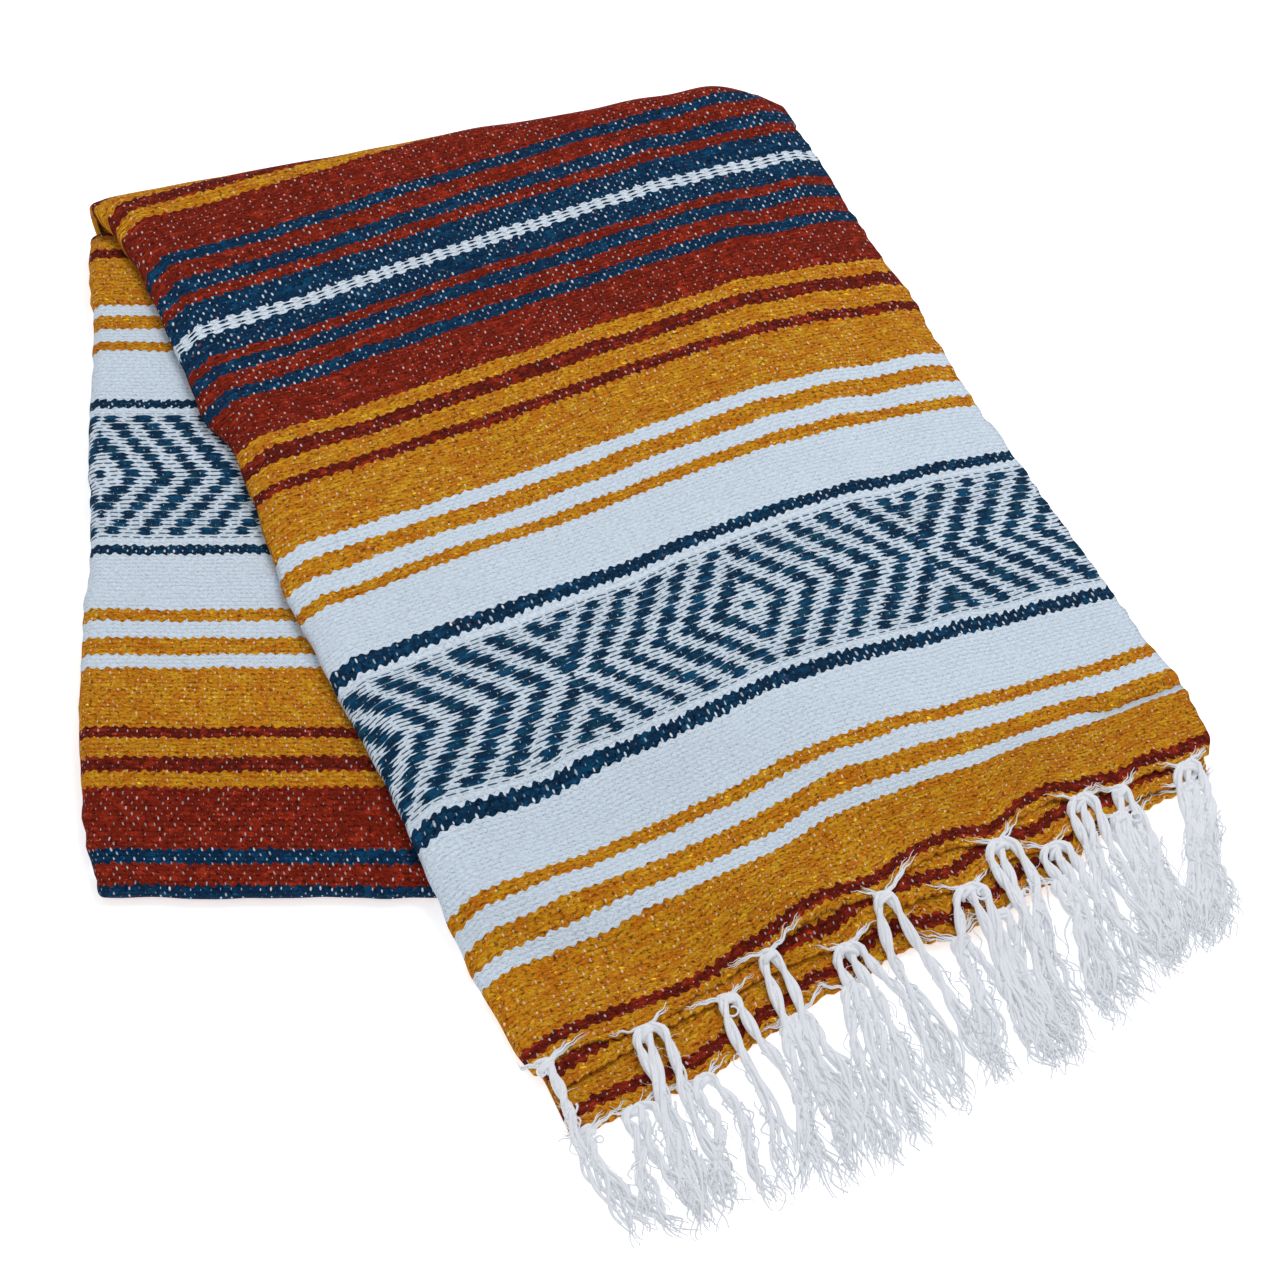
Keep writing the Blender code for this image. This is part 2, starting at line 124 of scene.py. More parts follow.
# How far the stripes bow towards the leaf's end, in millimetres: a row for each distance
# back from the end, a column for each place across.  A scratch script measured this
# table by matching a render with the photo, and it was rounded afterwards: see report.md.
STRAY_ACROSS = np.array([-0.20, -0.15, -0.10, -0.05, 0.0, 0.045, 0.09, 0.14, 0.19])
STRAY_BACK = np.linspace(0.030, 0.600, 13)
STRAY = np.array([
    (4, 6, 9, 8, 1, 4, 4, 1, -1),
    (2, 3, 2, 3, -1, 1, 5, 2, 1),
    (6, 11, 6, 7, 1, 1, 2, 2, 2),
    (2, 6, 5, 5, 1, 1, 2, 2, 2),
    (2, 1, 2, 3, 1, 1, 1, 1, 2),
    (3, 2, 3, 2, 0, 0, 1, 1, 2),
    (8, 7, 7, 5, 3, 2, 1, 2, 3),
    (9, 9, 9, 8, 4, 2, 1, 3, 3),
    (7, 7, 5, 4, 1, 1, 1, 3, 3),
    (-1, -1, -2, -3, -2, -2, -1, 3, 3),
    (-1, 0, -2, -4, -3, -4, -3, 2, 2),
    (-3, -1, -4, -7, -6, -7, -6, -2, -1),
    (0, 0, -2, -3, -3, -5, -6, -4, -2),
])
# The same for the under leaf: place along the cloth, and y where it is 30 mm high.
UNDER_PATTERN = np.array([
    (0.5990, 0.2900), (0.6270, 0.2620), (0.6660, 0.2244), (0.6875, 0.2050),
    (0.7080, 0.1871), (0.7470, 0.1500), (0.7540, 0.1443), (0.8490, 0.0446),
    (0.8560, 0.0385), (0.8950, 0.0001), (0.9155, -0.0192), (0.9370, -0.0399),
    (0.9760, -0.0788), (0.9960, -0.0977), (1.0145, -0.1166), (1.0485, -0.1572),
    (1.0565, -0.1658), (1.0685, -0.1792), (1.0775, -0.1873), (1.1000, -0.2086),
])
# How far the under leaf's left edge strays to the right of straight, by y.
UNDER_STRAY = np.array([
    (-0.200, 0.0020), (-0.150, 0.0006), (-0.120, -0.0015), (-0.070, -0.0027),
    (0.000, -0.0010), (0.035, 0.0026), (0.070, 0.0026), (0.110, 0.0010), (0.140, 0.0014),
    (0.180, 0.0030), (0.210, 0.0034), (0.250, 0.0004), (0.300, 0.0),
])


def smooth(value):
    value = np.clip(value, 0.0, 1.0)
    return value * value * (3.0 - 2.0 * value)


def eased(value, table):
    """Values of a two-column table, eased from row to row."""
    value = np.clip(value, table[0, 0], table[-1, 0])
    row = np.clip(np.searchsorted(table[:, 0], value) - 1, 0, len(table) - 2)
    share = (value - table[row, 0]) / (table[row + 1, 0] - table[row, 0])
    return table[row, 1] + (table[row + 1, 1] - table[row, 1]) * smooth(share)


def ripple(across, along, length, seed):
    """Smooth noise between -1 and 1 with about this wavelength."""
    rng = np.random.default_rng(seed)
    total = np.zeros(np.broadcast(across, along).shape)
    for _ in range(7):
        angle = rng.uniform(0.0, 2.0 * math.pi)
        wave = 2.0 * math.pi / (length * rng.uniform(0.7, 1.5))
        phase = rng.uniform(0.0, 2.0 * math.pi)
        total += np.sin(wave * (across * math.cos(angle) + along * math.sin(angle)) + phase)
    return total / 4.0


# ---------------------------------------------------------------------- heights

def stack_height(y):
    rise = NEAR_RISE * smooth((y + 0.160) / 0.095)
    return NEAR_HEIGHT + rise + BACK_SLOPE * np.maximum(y + 0.065, 0.0)


def under_left(y):
    return UNDER_LEFT_X + UNDER_LEAN * y


def support(x, y):
    """Height of the under leaf, and of its fall to the floor around it."""
    side = smooth((under_left(y) + LEAF_WIDTH + 0.166 - x) / 0.208)
    return stack_height(y) * side * smooth((y + 0.2145) / 0.045)


def under_top(x, y):
    return support(x, np.maximum(y, -0.1695))


def underside(x, y):
    """Height of the lowest face of the top leaf."""
    height = support(x, y)
    return height + REST * np.minimum(1.0, height / 0.010)


def plan(back, across):
    """Where a place on the top leaf lies, seen from above."""
    x = LEAF_ORIGIN[0] - back * math.sin(LEAF_ANGLE) + across * math.cos(LEAF_ANGLE)
    y = LEAF_ORIGIN[1] + back * math.cos(LEAF_ANGLE) + across * math.sin(LEAF_ANGLE)
    return x, y


def fold_back(across, before_fold):
    """Distance back along the leaf to a line this far before the back fold."""
    normal = (-math.sin(FOLD_ANGLE), math.cos(FOLD_ANGLE))
    offset = sum(n * (o - p) for n, o, p in zip(normal, LEAF_ORIGIN, FOLD_POINT))
    corner = 0.040 * (np.maximum(across - CORNER_START, 0.0) / CORNER_RUN) ** 3
    lean = across * math.sin(LEAF_ANGLE - FOLD_ANGLE)
    return (-before_fold - corner - offset - lean) / FOLD_TURN


def roll_radius(across):
    x, y = plan(fold_back(across, 0.015), across)
    return ROLL_SHARE * (underside(x, y) + STACK)


def loft(across, back):
    inside = np.minimum(across - eased(back, LEFT_EDGE), eased(back, RIGHT_EDGE) - across)
    return LOFT * smooth(inside / LOFT_EDGE) * smooth((back - 0.03) / 0.05)


def creases(across, back):
    """Soft troughs and ridges of the top leaf."""
    left, right = eased(back, LEFT_EDGE), eased(back, RIGHT_EDGE)
    inside = smooth((across - left) / 0.03) * smooth((right - across) / 0.02)
    height = 0.0009 * ripple(across, back, 0.13, 3) * inside
    height += 0.0005 * ripple(across, back, 0.045, 5) * inside
    # the tuck near the fringe end's right corner
    tuck = back - TUCK_BACK
    reach = smooth((across - 0.145) / 0.030)
    height -= 0.0030 * np.exp(-(tuck / 0.0034) ** 2) * reach
    height += 0.0020 * np.exp(-((tuck - 0.0085) / 0.007) ** 2) * reach
    height += 0.0012 * np.exp(-((tuck + 0.010) / 0.008) ** 2) * reach
    # the trough in front of the near fold
    trough = np.exp(-((across + 0.125) / 0.032) ** 2)
    height -= 0.0030 * trough * smooth((0.17 - back) / 0.05) * smooth((back - 0.02) / 0.03)
    # shallow drapes beside the stack
    drape = np.sin((across - 0.35 * back) * 2.0 * math.pi / 0.052)
    height += 0.0007 * drape * smooth((across - 0.04) / 0.06) * inside
    return height


def top_height(across, back):
    x, y = plan(back, across)
    low = underside(x, y)
    height = low + STACK + loft(across, back) + creases(across, back)
    return np.maximum(height, low + STACK - 0.0004)


def wander(across, back):
    """How far the stripes stray from straight, as a shift back along the leaf."""
    near_across = np.exp(-((across[..., None] - STRAY_ACROSS) / 0.033) ** 2)
    near_back = np.exp(-((back[..., None] - STRAY_BACK) / 0.033) ** 2)
    near_across /= near_across.sum(axis=-1, keepdims=True)
    near_back /= near_back.sum(axis=-1, keepdims=True)
    stray = np.einsum("...i,...j,ij->...", near_back, near_across, STRAY)
    wave = 0.0006 * ripple(across, back, 0.07, 11) + 0.0005 * ripple(across, back, 0.035, 12)
    return wave - 0.001 * stray


def droop(across, back):
    """Shift of the stripes where the cloth rounds down into the left fold."""
    size = 0.0042 + 0.0050 * smooth((back - 0.40) / 0.18)
    return size * (1.0 - smooth((across - eased(back, LEFT_EDGE)) / 0.021)), size


def along_top(across, back):
    """Place along the cloth of a point of the top leaf."""
    left, right = eased(back, LEFT_EDGE), eased(back, RIGHT_EDGE)
    share = np.clip((across - left) / (right - left), 0.0, 1.0)
    shift, size = droop(across, back)
    place = back
    back = back - wander(across, back) + shift - size * (1.0 - share) ** 3
    low, high = (np.interp(back, TOP_PATTERN[:, k], TOP_PATTERN[:, 0]) for k in (1, 2))
    along = low + (high - low) * share
    # the tuck hides most of one white stripe
    tuck = across * 0.0 + place - TUCK_BACK
    reach = smooth((across - 0.148) / 0.022)
    hidden = 0.0042 * np.tanh(tuck / 0.0010) * np.exp(-np.abs(tuck) / 0.018)
    return along + reach * (hidden + 0.0024 * np.exp(-(tuck / 0.025) ** 2))


def across_cloth(across):
    """Place across the panel of a point of the top leaf."""
    return np.interp(across, (-0.2600, -0.2215, -0.0975, 0.0085, 0.1185, 0.2169, 0.2600),
                     np.array((2.15, 2.0, 1.5, 1.0, 0.5, 0.06, -0.14)) * FIGURE_PERIOD)


# ----------------------------------------------------------------------- meshes

def link(name, mesh, material, node):
    mesh.materials.append(material)
    piece = bpy.data.objects.new(name, mesh)
    bpy.context.scene.collection.objects.link(piece)
    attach(piece, "root")
    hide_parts(node)
    return piece


def mesh_of(name, layer, parts):
    """One smooth mesh out of parts, each with its points, faces and UVs."""
    faces, count = [], 0
    for points, part_faces, _ in parts:
        faces += [[count + index for index in face] for face in part_faces]
        count += len(points)
    mesh = bpy.data.meshes.new(name)
    points = np.concatenate([part[0] for part in parts]) + SHIFT
    mesh.from_pydata(points.tolist(), [], faces)
    corner = np.empty(len(mesh.loops), dtype=np.int32)
    mesh.loops.foreach_get("vertex_index", corner)
    uv = np.concatenate([part[2] for part in parts])[corner].astype(np.float32)
    mesh.uv_layers.new(name=layer).data.foreach_set("uv", uv.ravel())
    mesh.update()
    mesh.shade_smooth()
    return mesh


def path_length(points):
    """Distance along a path, at each of its points."""
    steps = np.linalg.norm(np.diff(points, axis=0), axis=1)
    return np.concatenate([[0.0], np.cumsum(steps)])


def grid_uv(u, v, shape):
    return np.stack([np.broadcast_to(u, shape), np.broadcast_to(v, shape)], axis=2)


def quads(first, rows, columns):
    """Faces of a grid of points numbered row by row from first."""
    row, column = np.meshgrid(np.arange(rows - 1), np.arange(columns - 1), indexing="ij")
    low = (first + row * columns + column).ravel()
    return np.stack([low, low + 1, low + columns + 1, low + columns], axis=1)


def shell(outer, inner, uv):
    """Points, faces and UVs of a closed thin shell between two grids of points."""
    rows, columns = outer.shape[:2]
    count = rows * columns
    index = np.arange(count).reshape(rows, columns)
    rim = np.concatenate([index[0, :-1], index[:-1, -1], index[-1, :0:-1], index[:0:-1, 0]])
    after = np.roll(rim, -1)
    sides = np.stack([rim, rim + count, after + count, after], axis=1)
    back = quads(count, rows, columns)[:, ::-1]
    faces = np.concatenate([quads(0, rows, columns), back, sides])
    points = np.concatenate([outer.reshape(-1, 3), inner.reshape(-1, 3)])
    a, b, c, d = (points[faces[:, corner]] for corner in range(4))
    volume = np.einsum("ij,ij->", a, np.cross(b, c) + np.cross(c, d))
    faces = faces[:, ::-1] if volume < 0.0 else faces
    return points, faces.tolist(), np.concatenate([uv.reshape(-1, 2)] * 2)


# -------------------------------------------------------------------- materials

class Value:
    """What a shader node gives.  Sums with it add Math nodes, in the order written."""

    def __init__(self, nodes, socket):
        self.nodes, self.socket = nodes, socket

    def __abs__(self):
        return self.nodes.math("ABSOLUTE", self)

    def floor(self):
        return self.nodes.math("FLOOR", self)

    def fract(self):
        return self.nodes.math("FRACT", self)

    def sine(self):
        return self.nodes.math("SINE", self)

    def root(self):
        return self.nodes.math("SQRT", self)


def give_operator(name, operation):
    """Lets one of Python's operators work on a Value, from either side."""
    setattr(Value, f"__{name}__", lambda a, b: a.nodes.math(operation, a, b))
    setattr(Value, f"__r{name}__", lambda a, b: a.nodes.math(operation, b, a))


for symbol, math_node in (("add", "ADD"), ("sub", "SUBTRACT"), ("mul", "MULTIPLY"),
                          ("truediv", "DIVIDE"), ("mod", "FLOORED_MODULO"), ("pow", "POWER")):
    give_operator(symbol, math_node)


def set_inputs(node, settings):
    for name, value in settings.items():
        node.inputs[name].default_value = value


class Nodes:
    """Short names for the shader nodes that the weave is worked out with."""

    def __init__(self, name):
        self.material = bpy.data.materials.new(name)
        self.material.use_nodes = True
        self.tree = self.material.node_tree
        self.shader = self.tree.nodes["Principled BSDF"]
        set_inputs(self.shader, {"Roughness": 0.92, "Specular IOR Level": 0.04,
                                 "Sheen Weight": 0.02, "Sheen Roughness": 0.6})

    def put(self, socket, value):
        if isinstance(value, Value):
            self.tree.links.new(value.socket, socket)
        else:
            socket.default_value = value

    def node(self, kind, output, inputs, **settings):
        """A new node's output, its inputs given by number or name."""
        node = self.tree.nodes.new("ShaderNode" + kind)
        for name, setting in settings.items():
            setattr(node, name, setting)
        for key, value in inputs.items():
            self.put(node.inputs[key], value)
        return Value(self, node.outputs[output])

    def math(self, operation, *values):
        return self.node("Math", 0, dict(enumerate(values)), operation=operation)

    def step(self, value, low, high):
        """Smooth step from low to high; it falls where high is the smaller."""
        falls = high < low
        return self.node("MapRange", "Result", {
            "Value": value, "From Min": min(low, high), "From Max": max(low, high),
            "To Min": float(falls), "To Max": float(not falls)},
            interpolation_type="SMOOTHSTEP")

    def vector(self, x, y, z=0.0):
        return self.node("CombineXYZ", 0, {0: x, 1: y, 2: z})

    def noise(self, x, y, z=0.0, detail=2.0, rough=0.5):
        return self.node("TexNoise", "Fac", {
            "Vector": self.vector(x, y, z), "Scale": 1.0, "Detail": detail, "Roughness": rough})

    def chance(self, x, y, z=0.0):
        return self.node("TexWhiteNoise", "Value", {"Vector": self.vector(x, y, z)},
                         noise_dimensions="3D")

    def ramp(self, value, stops):
        made = self.node("ValToRGB", "Color", {"Fac": value})
        band = made.socket.node.color_ramp
        band.interpolation = "CONSTANT"
        while len(band.elements) < len(stops):
            band.elements.new(0.5)
        for element, (place, colour) in zip(band.elements, stops):
            element.position = place
            element.color = (*colour, 1.0)
        return made

    def blend(self, share, first, second, kind="MIX"):
        first, second = (colour if isinstance(colour, Value) else (*colour, 1.0)
                         for colour in (first, second))
        return self.node("Mix", 2, {0: share, 6: first, 7: second},
                         data_type="RGBA", blend_type=kind)

    def uv(self, name):
        place = self.node("UVMap", "UV", {}, uv_map=name)
        parts = self.node("SeparateXYZ", 0, {0: place}).socket.node
        return Value(self, parts.outputs[0]), Value(self, parts.outputs[1])

    def bump(self, height, distance, strength):
        normal = self.node("Bump", "Normal", {
            "Distance": distance, "Strength": strength, "Height": height})
        self.put(self.shader.inputs["Normal"], normal)


YELLOW = (0.565, 0.222, 0.009)
MAROON = (0.117, 0.0100, 0.0042)
RED = (0.174, 0.0128, 0.0042)
BLUE = (0.0020, 0.0255, 0.072)
NAVY = (0.0030, 0.025, 0.064)
WHITE = (0.632, 0.728, 0.835)
YELLOW_FLECK = (0.70, 0.39, 0.018)
RED_FLECK = (0.41, 0.034, 0.011)
BLUE_FLECK = (0.004, 0.070, 0.165)

# Stripes from the centre of a figured band outwards: width in metres, the yarn's
# colour, its other heather colour, and how plainly the warp dots show.
STRIPES = (
    (0.0475, WHITE, WHITE, 0.10), (0.0070, NAVY, BLUE_FLECK, 0.95),
    (0.0390, WHITE, WHITE, 0.10), (0.0085, YELLOW, YELLOW_FLECK, 0.60),
    (0.0120, WHITE, WHITE, 0.10), (0.0125, YELLOW, YELLOW_FLECK, 0.60),
    (0.0090, WHITE, WHITE, 0.10), (0.0390, YELLOW, YELLOW_FLECK, 0.64),
    (0.0075, MAROON, RED_FLECK, 0.60), (0.0125, YELLOW, YELLOW_FLECK, 0.64),
    (0.0100, MAROON, RED_FLECK, 0.60), (0.0085, YELLOW, YELLOW_FLECK, 0.60),
    (0.0340, RED, RED_FLECK, 0.60), (0.0080, BLUE, BLUE_FLECK, 0.80),
    (0.0120, RED, RED_FLECK, 0.65), (0.0090, BLUE, BLUE_FLECK, 0.85),
    (0.0070, RED, RED_FLECK, 0.70), (0.02075, BLUE, BLUE_FLECK, 0.90),
)


def stripe_stops(pick):
    """Stops of a colour ramp, each with what pick makes of a stripe."""
    place, stops = 0.0, []
    for width, *stripe in STRIPES:
        stops.append((place / HALF_REPEAT, pick(*stripe)))
        place += width
    return stops


def from_figure(place):
    """Distance along the cloth to the nearest figured band's centre."""
    turned = (place + (HALF_REPEAT - FIRST_FIGURE)) % (2.0 * HALF_REPEAT)
    return abs(turned - HALF_REPEAT)


def figured_band(n, u, v, u_warp, v_row):
    """Rows of pointed floats that step into nested diamonds, and the slits between."""
    from_first = v_row - (FIRST_FIGURE - FLOAT / 2.0)
    float_place = from_first / FLOAT
    float_row = float_place.floor()
    in_float = abs((float_place.fract() - 0.5) * 2.0)
    half_place = from_first / (FLOAT / 2.0)
    half_row = half_place.floor()
    slit_y = abs(half_place.fract() - 0.5)
    figure_y = from_figure(float_row * FLOAT + FIRST_FIGURE)
    jitter = (n.chance(float_row, 3.0) - 0.5) * 0.0022
    turned = (u_warp + jitter + FIGURE_PERIOD / 2.0) % FIGURE_PERIOD
    figure_x = abs(turned - FIGURE_PERIOD / 2.0)
    reach = figure_x + figure_y * FIGURE_SLOPE
    bar_place = reach / FIGURE_BAR + 0.5
    cell = bar_place.floor()
    bar = abs(bar_place.fract() - 0.5)
    side = (u / (FIGURE_PERIOD / 2.0)).floor()
    cell_luck = n.chance(float_row, cell, side)
    spike = 1.0 - (slit_y * 2.0) ** 0.9
    belly = 1.0 - in_float * in_float
    half = belly * 0.040 + spike * 0.190 + (0.146 + (cell_luck - 0.5) * 0.12)
    half = half * (1.0 - n.step(cell, 0.5, 0.4) * 0.30)
    hairy = (n.noise(u * 600.0, v * 900.0, 2.0) - 0.5) * 0.12
    figure = n.step(half + hairy - bar, -0.025, 0.025)
    neck = n.step(in_float, 0.88, 0.96) * n.step(n.chance(cell, float_row, 31.0), 0.4, 0.10)
    figure = figure * (1.0 - neck * 0.70)
    figure = figure * n.math("LESS_THAN", figure_y, 0.0435)
    inside_band = n.step(from_figure(v_row), 0.0445, 0.0435)
    # slits between the white floats
    slit_place = u_warp / SLIT + n.chance(half_row, 8.0)
    slit_x = abs(slit_place.fract() - 0.5)
    slit_long = 0.34 + n.chance(slit_place.floor(), half_row, 9.0) * 0.13
    slit_wide = n.math("MINIMUM", (slit_long - slit_x) * 1.2, 0.155)
    slit = n.step(slit_wide - slit_y, -0.02, 0.025)
    return figure, slit * inside_band


def dashed_band(n, u_warp, v_row):
    """Three rows of white floats on blue, with pointed blue slits between them."""
    place = v_row - (FIRST_FIGURE + HALF_REPEAT) + HALF_REPEAT
    dash_turn = place % (2.0 * HALF_REPEAT) - HALF_REPEAT
    dash_place = dash_turn / DASH_ROW + 1.5
    border = (dash_place + 0.5).floor()
    from_border = abs(dash_place - border)
    is_inner = n.step(abs(border - 1.5), 1.1, 0.9)
    dash_cell = u_warp / DASH
    dash_luck = n.chance(dash_cell.floor(), border, 4.0)
    dash_x = abs((dash_cell.fract() - 0.5) * 2.0)
    lens = 1.0 - dash_x * dash_x * 1.9
    lens = lens * (dash_luck * 0.12 + 0.22)
    notch = (1.0 - dash_x * 1.6) * (dash_luck * 0.4 + 0.80)
    dash_slit = lens * is_inner + notch * (1.0 - is_inner)
    dash = n.step(from_border - dash_slit, -0.08, 0.0)
    in_dashes = n.step(abs(dash_place - 1.5), 1.54, 1.46)
    return dash * in_dashes


def make_weave():
    n = Nodes("serape_weave")
    u, v = n.uv("cloth")
    # the lie of the yarns: rows of weft, and warps that show between them
    stray = n.noise(u * 42.0, v * 42.0, 1.0, 2.0)
    jog = n.noise(u * 150.0, v * 110.0, 7.0, 1.0)
    v_row = v + ((stray - 0.5) * 0.0020 + (jog - 0.5) * 0.0009)
    sway = n.noise(u * 45.0, v * 60.0, 5.0)
    u_warp = u + (sway - 0.5) * 0.0026
    row_place = v_row / ROW
    row = row_place.floor()
    in_row = row_place.fract() - 0.5
    in_row_square = in_row * in_row * 4.0
    warp_place = u_warp / WARP + row % 2.0 * 0.5
    warp = warp_place.floor()
    in_warp = warp_place.fract() - 0.5
    luck = n.chance(warp, row, 2.0)
    # stripes, with scalloped borders
    wide_bumps = (u_warp * (math.pi / WARP)).sine() * 0.00030
    bumps = wide_bumps + (u_warp * (2.0 * math.pi / WARP)).sine() * 0.00065
    ragged = n.noise(u * 170.0, v * 90.0, 9.0, 1.0) - 0.5
    hairs = n.noise(u * 900.0, v * 700.0, 10.0, 1.0) - 0.5
    v_stripe = v_row + bumps + (ragged * 0.0012 + hairs * 0.0006)
    stripe = from_figure(v_stripe) / HALF_REPEAT
    base, other, dots_show, is_white, is_yellow = (
        n.ramp(stripe, stripe_stops(pick)) for pick in (
            lambda yarn, heather, dots: yarn,
            lambda yarn, heather, dots: heather,
            lambda yarn, heather, dots: (dots,) * 3,
            lambda yarn, heather, dots: (float(yarn is WHITE),) * 3,
            lambda yarn, heather, dots: (float(yarn is YELLOW),) * 3))
    figure, slits = figured_band(n, u, v, u_warp, v_row)
    dashes = dashed_band(n, u_warp, v_row)
    floats = n.math("MAXIMUM", figure, dashes)
    # heathered yarns with odd flecks
    lengthy = n.noise(u * 110.0, row * 3.7, 6.0, 2.0)
    slant = u + v * 0.70
    cross = v - u * 0.45
    grain = n.noise(slant * 380.0, cross * 950.0, 4.0, 3.0, 0.68)
    mottle = n.noise(u * 420.0, v * 560.0, 12.0, 2.0, 0.6)
    blotch = n.noise(u * 130.0, v * 170.0, 14.0, 2.0, 0.6)
    colour = n.blend(n.step(lengthy, 0.46, 0.72) * 0.5, base, other)
    colour = n.blend(n.step(blotch, 0.52, 0.68) * 0.70, colour, other)
    orange = n.noise(u * 75.0, v * 150.0, 18.0, 2.0, 0.6)
    warm = n.blend(1.0, colour, (0.92, 0.72, 0.80), "MULTIPLY")
    colour = n.blend(n.step(orange, 0.44, 0.62) * is_yellow, colour, warm)
    darker = n.blend(1.0, colour, (0.17, 0.12, 0.20), "MULTIPLY")
    dark_share = n.step(mottle, 0.5, 0.69) * (is_white * -0.70 + 0.86)
    colour = n.blend(dark_share, colour, darker)
    fleck_at = n.noise(slant * 210.0, cross * 400.0, 33.0, 1.0)
    fleck_kind = n.noise(u * 60.0, v * 75.0, 44.0, 1.0)
    bright = n.blend(1.0, other, (1.75, 1.9, 1.6), "MULTIPLY")
    fleck_colour = n.blend(n.step(fleck_kind, 0.54, 0.6), bright, (0.46, 0.070, 0.018))
    fleck_share = n.step(fleck_at, 0.68, 0.76) * (0.80 - is_white * 0.80)
    colour = n.blend(fleck_share, colour, fleck_colour)
    speck = n.noise(u * 640.0, v * 640.0, 51.0, 1.0)
    speck_share = n.step(speck, 0.735, 0.80) * (is_white * -0.15 + 0.72)
    colour = n.blend(speck_share, colour, (0.045, 0.035, 0.040))
    float_yarn = n.blend(n.step(lengthy, 0.44, 0.70), NAVY, BLUE_FLECK)
    float_yarn = n.blend(n.step(blotch, 0.5, 0.68) * 0.70, float_yarn, (0.010, 0.075, 0.125))
    float_yarn = n.blend(n.step(mottle, 0.5, 0.70) * 0.6, float_yarn, (0.003, 0.018, 0.045))
    colour = n.blend(slits * 0.9, colour, (0.014, 0.056, 0.105))
    colour = n.blend(figure, colour, float_yarn)
    colour = n.blend(dashes, colour, (0.66, 0.75, 0.85))
    # warp dots; then painted shade: dark pits beside the dots, each row darker towards its edges
    # and where a warp pinches it, and the grain's random tone
    spot = n.chance(warp, row, 5.0)
    nudge = n.chance(warp, row, 6.0)
    dot_x = (in_warp * WARP + (spot - 0.5) * 0.0008) / 0.00042
    dot_y = (in_row * ROW + (nudge - 0.5) * 0.0007) / 0.0009
    dot_far = (dot_x * dot_x + dot_y * dot_y).root()
    dot_size = (luck * luck * 0.95 + 0.45) * (dots_show * 0.66 + 0.47)
    dot = n.step(dot_far / dot_size, 1.2, 0.65)
    dot_area = n.noise(u * 24.0, v * 30.0, 17.0, 3.0)
    dot_bright = n.step(luck + (dot_area - 0.5) * 2.2, -0.10, 0.95)
    dot_show = n.math("MAXIMUM", dots_show, figure * 0.55)
    fainter = 1.0 - row % 2.0 * 0.38
    dot_share = dot * dot_bright * fainter * (dot_show * (1.0 - dashes))
    dot_colour = n.blend(is_yellow, (0.80, 0.85, 0.91), (0.94, 0.83, 0.6))
    colour = n.blend(dot_share, colour, dot_colour)
    # painted shadow: small dark pits beside each warp dot
    pit_x = (abs(in_warp) - 0.190) * WARP / 0.00045
    pit_y = (0.5 - abs(in_row)) * ROW / 0.00050
    pit_shade = n.step(pit_x * pit_x + pit_y * pit_y, 1.4, 0.20)
    pit_shade = pit_shade * n.step(spot + mottle * 0.80, 0.55, 1.15)
    # painted shade: each row lighter at its crown and darker towards its edges, and darker where a
    # warp pinches it
    shade = 1.07 - in_row_square * (is_white * -0.05 + 0.13)
    shade = shade * (1.0 - pit_shade * (is_white * -0.02 + 0.42))
    pinch = n.step(abs(in_warp), 0.20, 0.0)
    shade = shade * (1.0 - pinch * (is_white * -0.03 + 0.09))
    contrast = is_white * -1.15 + 1.95
    shade = shade * (1.0 + (grain - 0.5) * contrast)
    colour = n.blend(1.0, colour, n.vector(shade, shade, shade), "MULTIPLY")
    n.put(n.shader.inputs["Base Color"], colour)
    # relief of the weave
    relief = (1.0 - in_row_square) * (0.55 - pinch * 0.30)
    relief = relief * (1.0 - is_white * 0.20)
    relief = relief + grain * (is_white * -0.30 + 2.1)
    relief = relief + (floats * 0.30 + slits * -0.6)
    n.bump(relief, 0.0007, 0.85)
    return n.material


def make_cotton():
    n = Nodes("fringe_cotton")
    u, v = n.uv("strand")
    fibre = n.noise(u * 2.2, v * 260.0, 3.0, 3.0, 0.6)
    fuzz = n.noise(u * 6.0, v * 900.0, 5.0, 2.0, 0.6)
    patch = n.noise(v * 40.0, u * 0.30, 8.0)
    colour = n.blend(n.step(fibre, 0.30, 0.75), (0.6, 0.622, 0.668), (0.68, 0.70, 0.742))
    colour = n.blend(n.step(patch, 0.62, 0.80) * 0.15, colour, (0.56, 0.58, 0.62))
    n.put(n.shader.inputs["Base Color"], colour)
    # painted light: the fringe glows faintly, to lift the shade between its strands
    set_inputs(n.shader, {"Sheen Weight": 0.25, "Emission Color": (0.93, 0.96, 1.0, 1.0),
                          "Emission Strength": 0.155})
    n.bump(fibre * 0.9 + fuzz * 0.5, 0.00050, 0.28)
    return n.material


WEAVE = make_weave()
COTTON = make_cotton()


# ------------------------------------------------------------------- top leaf

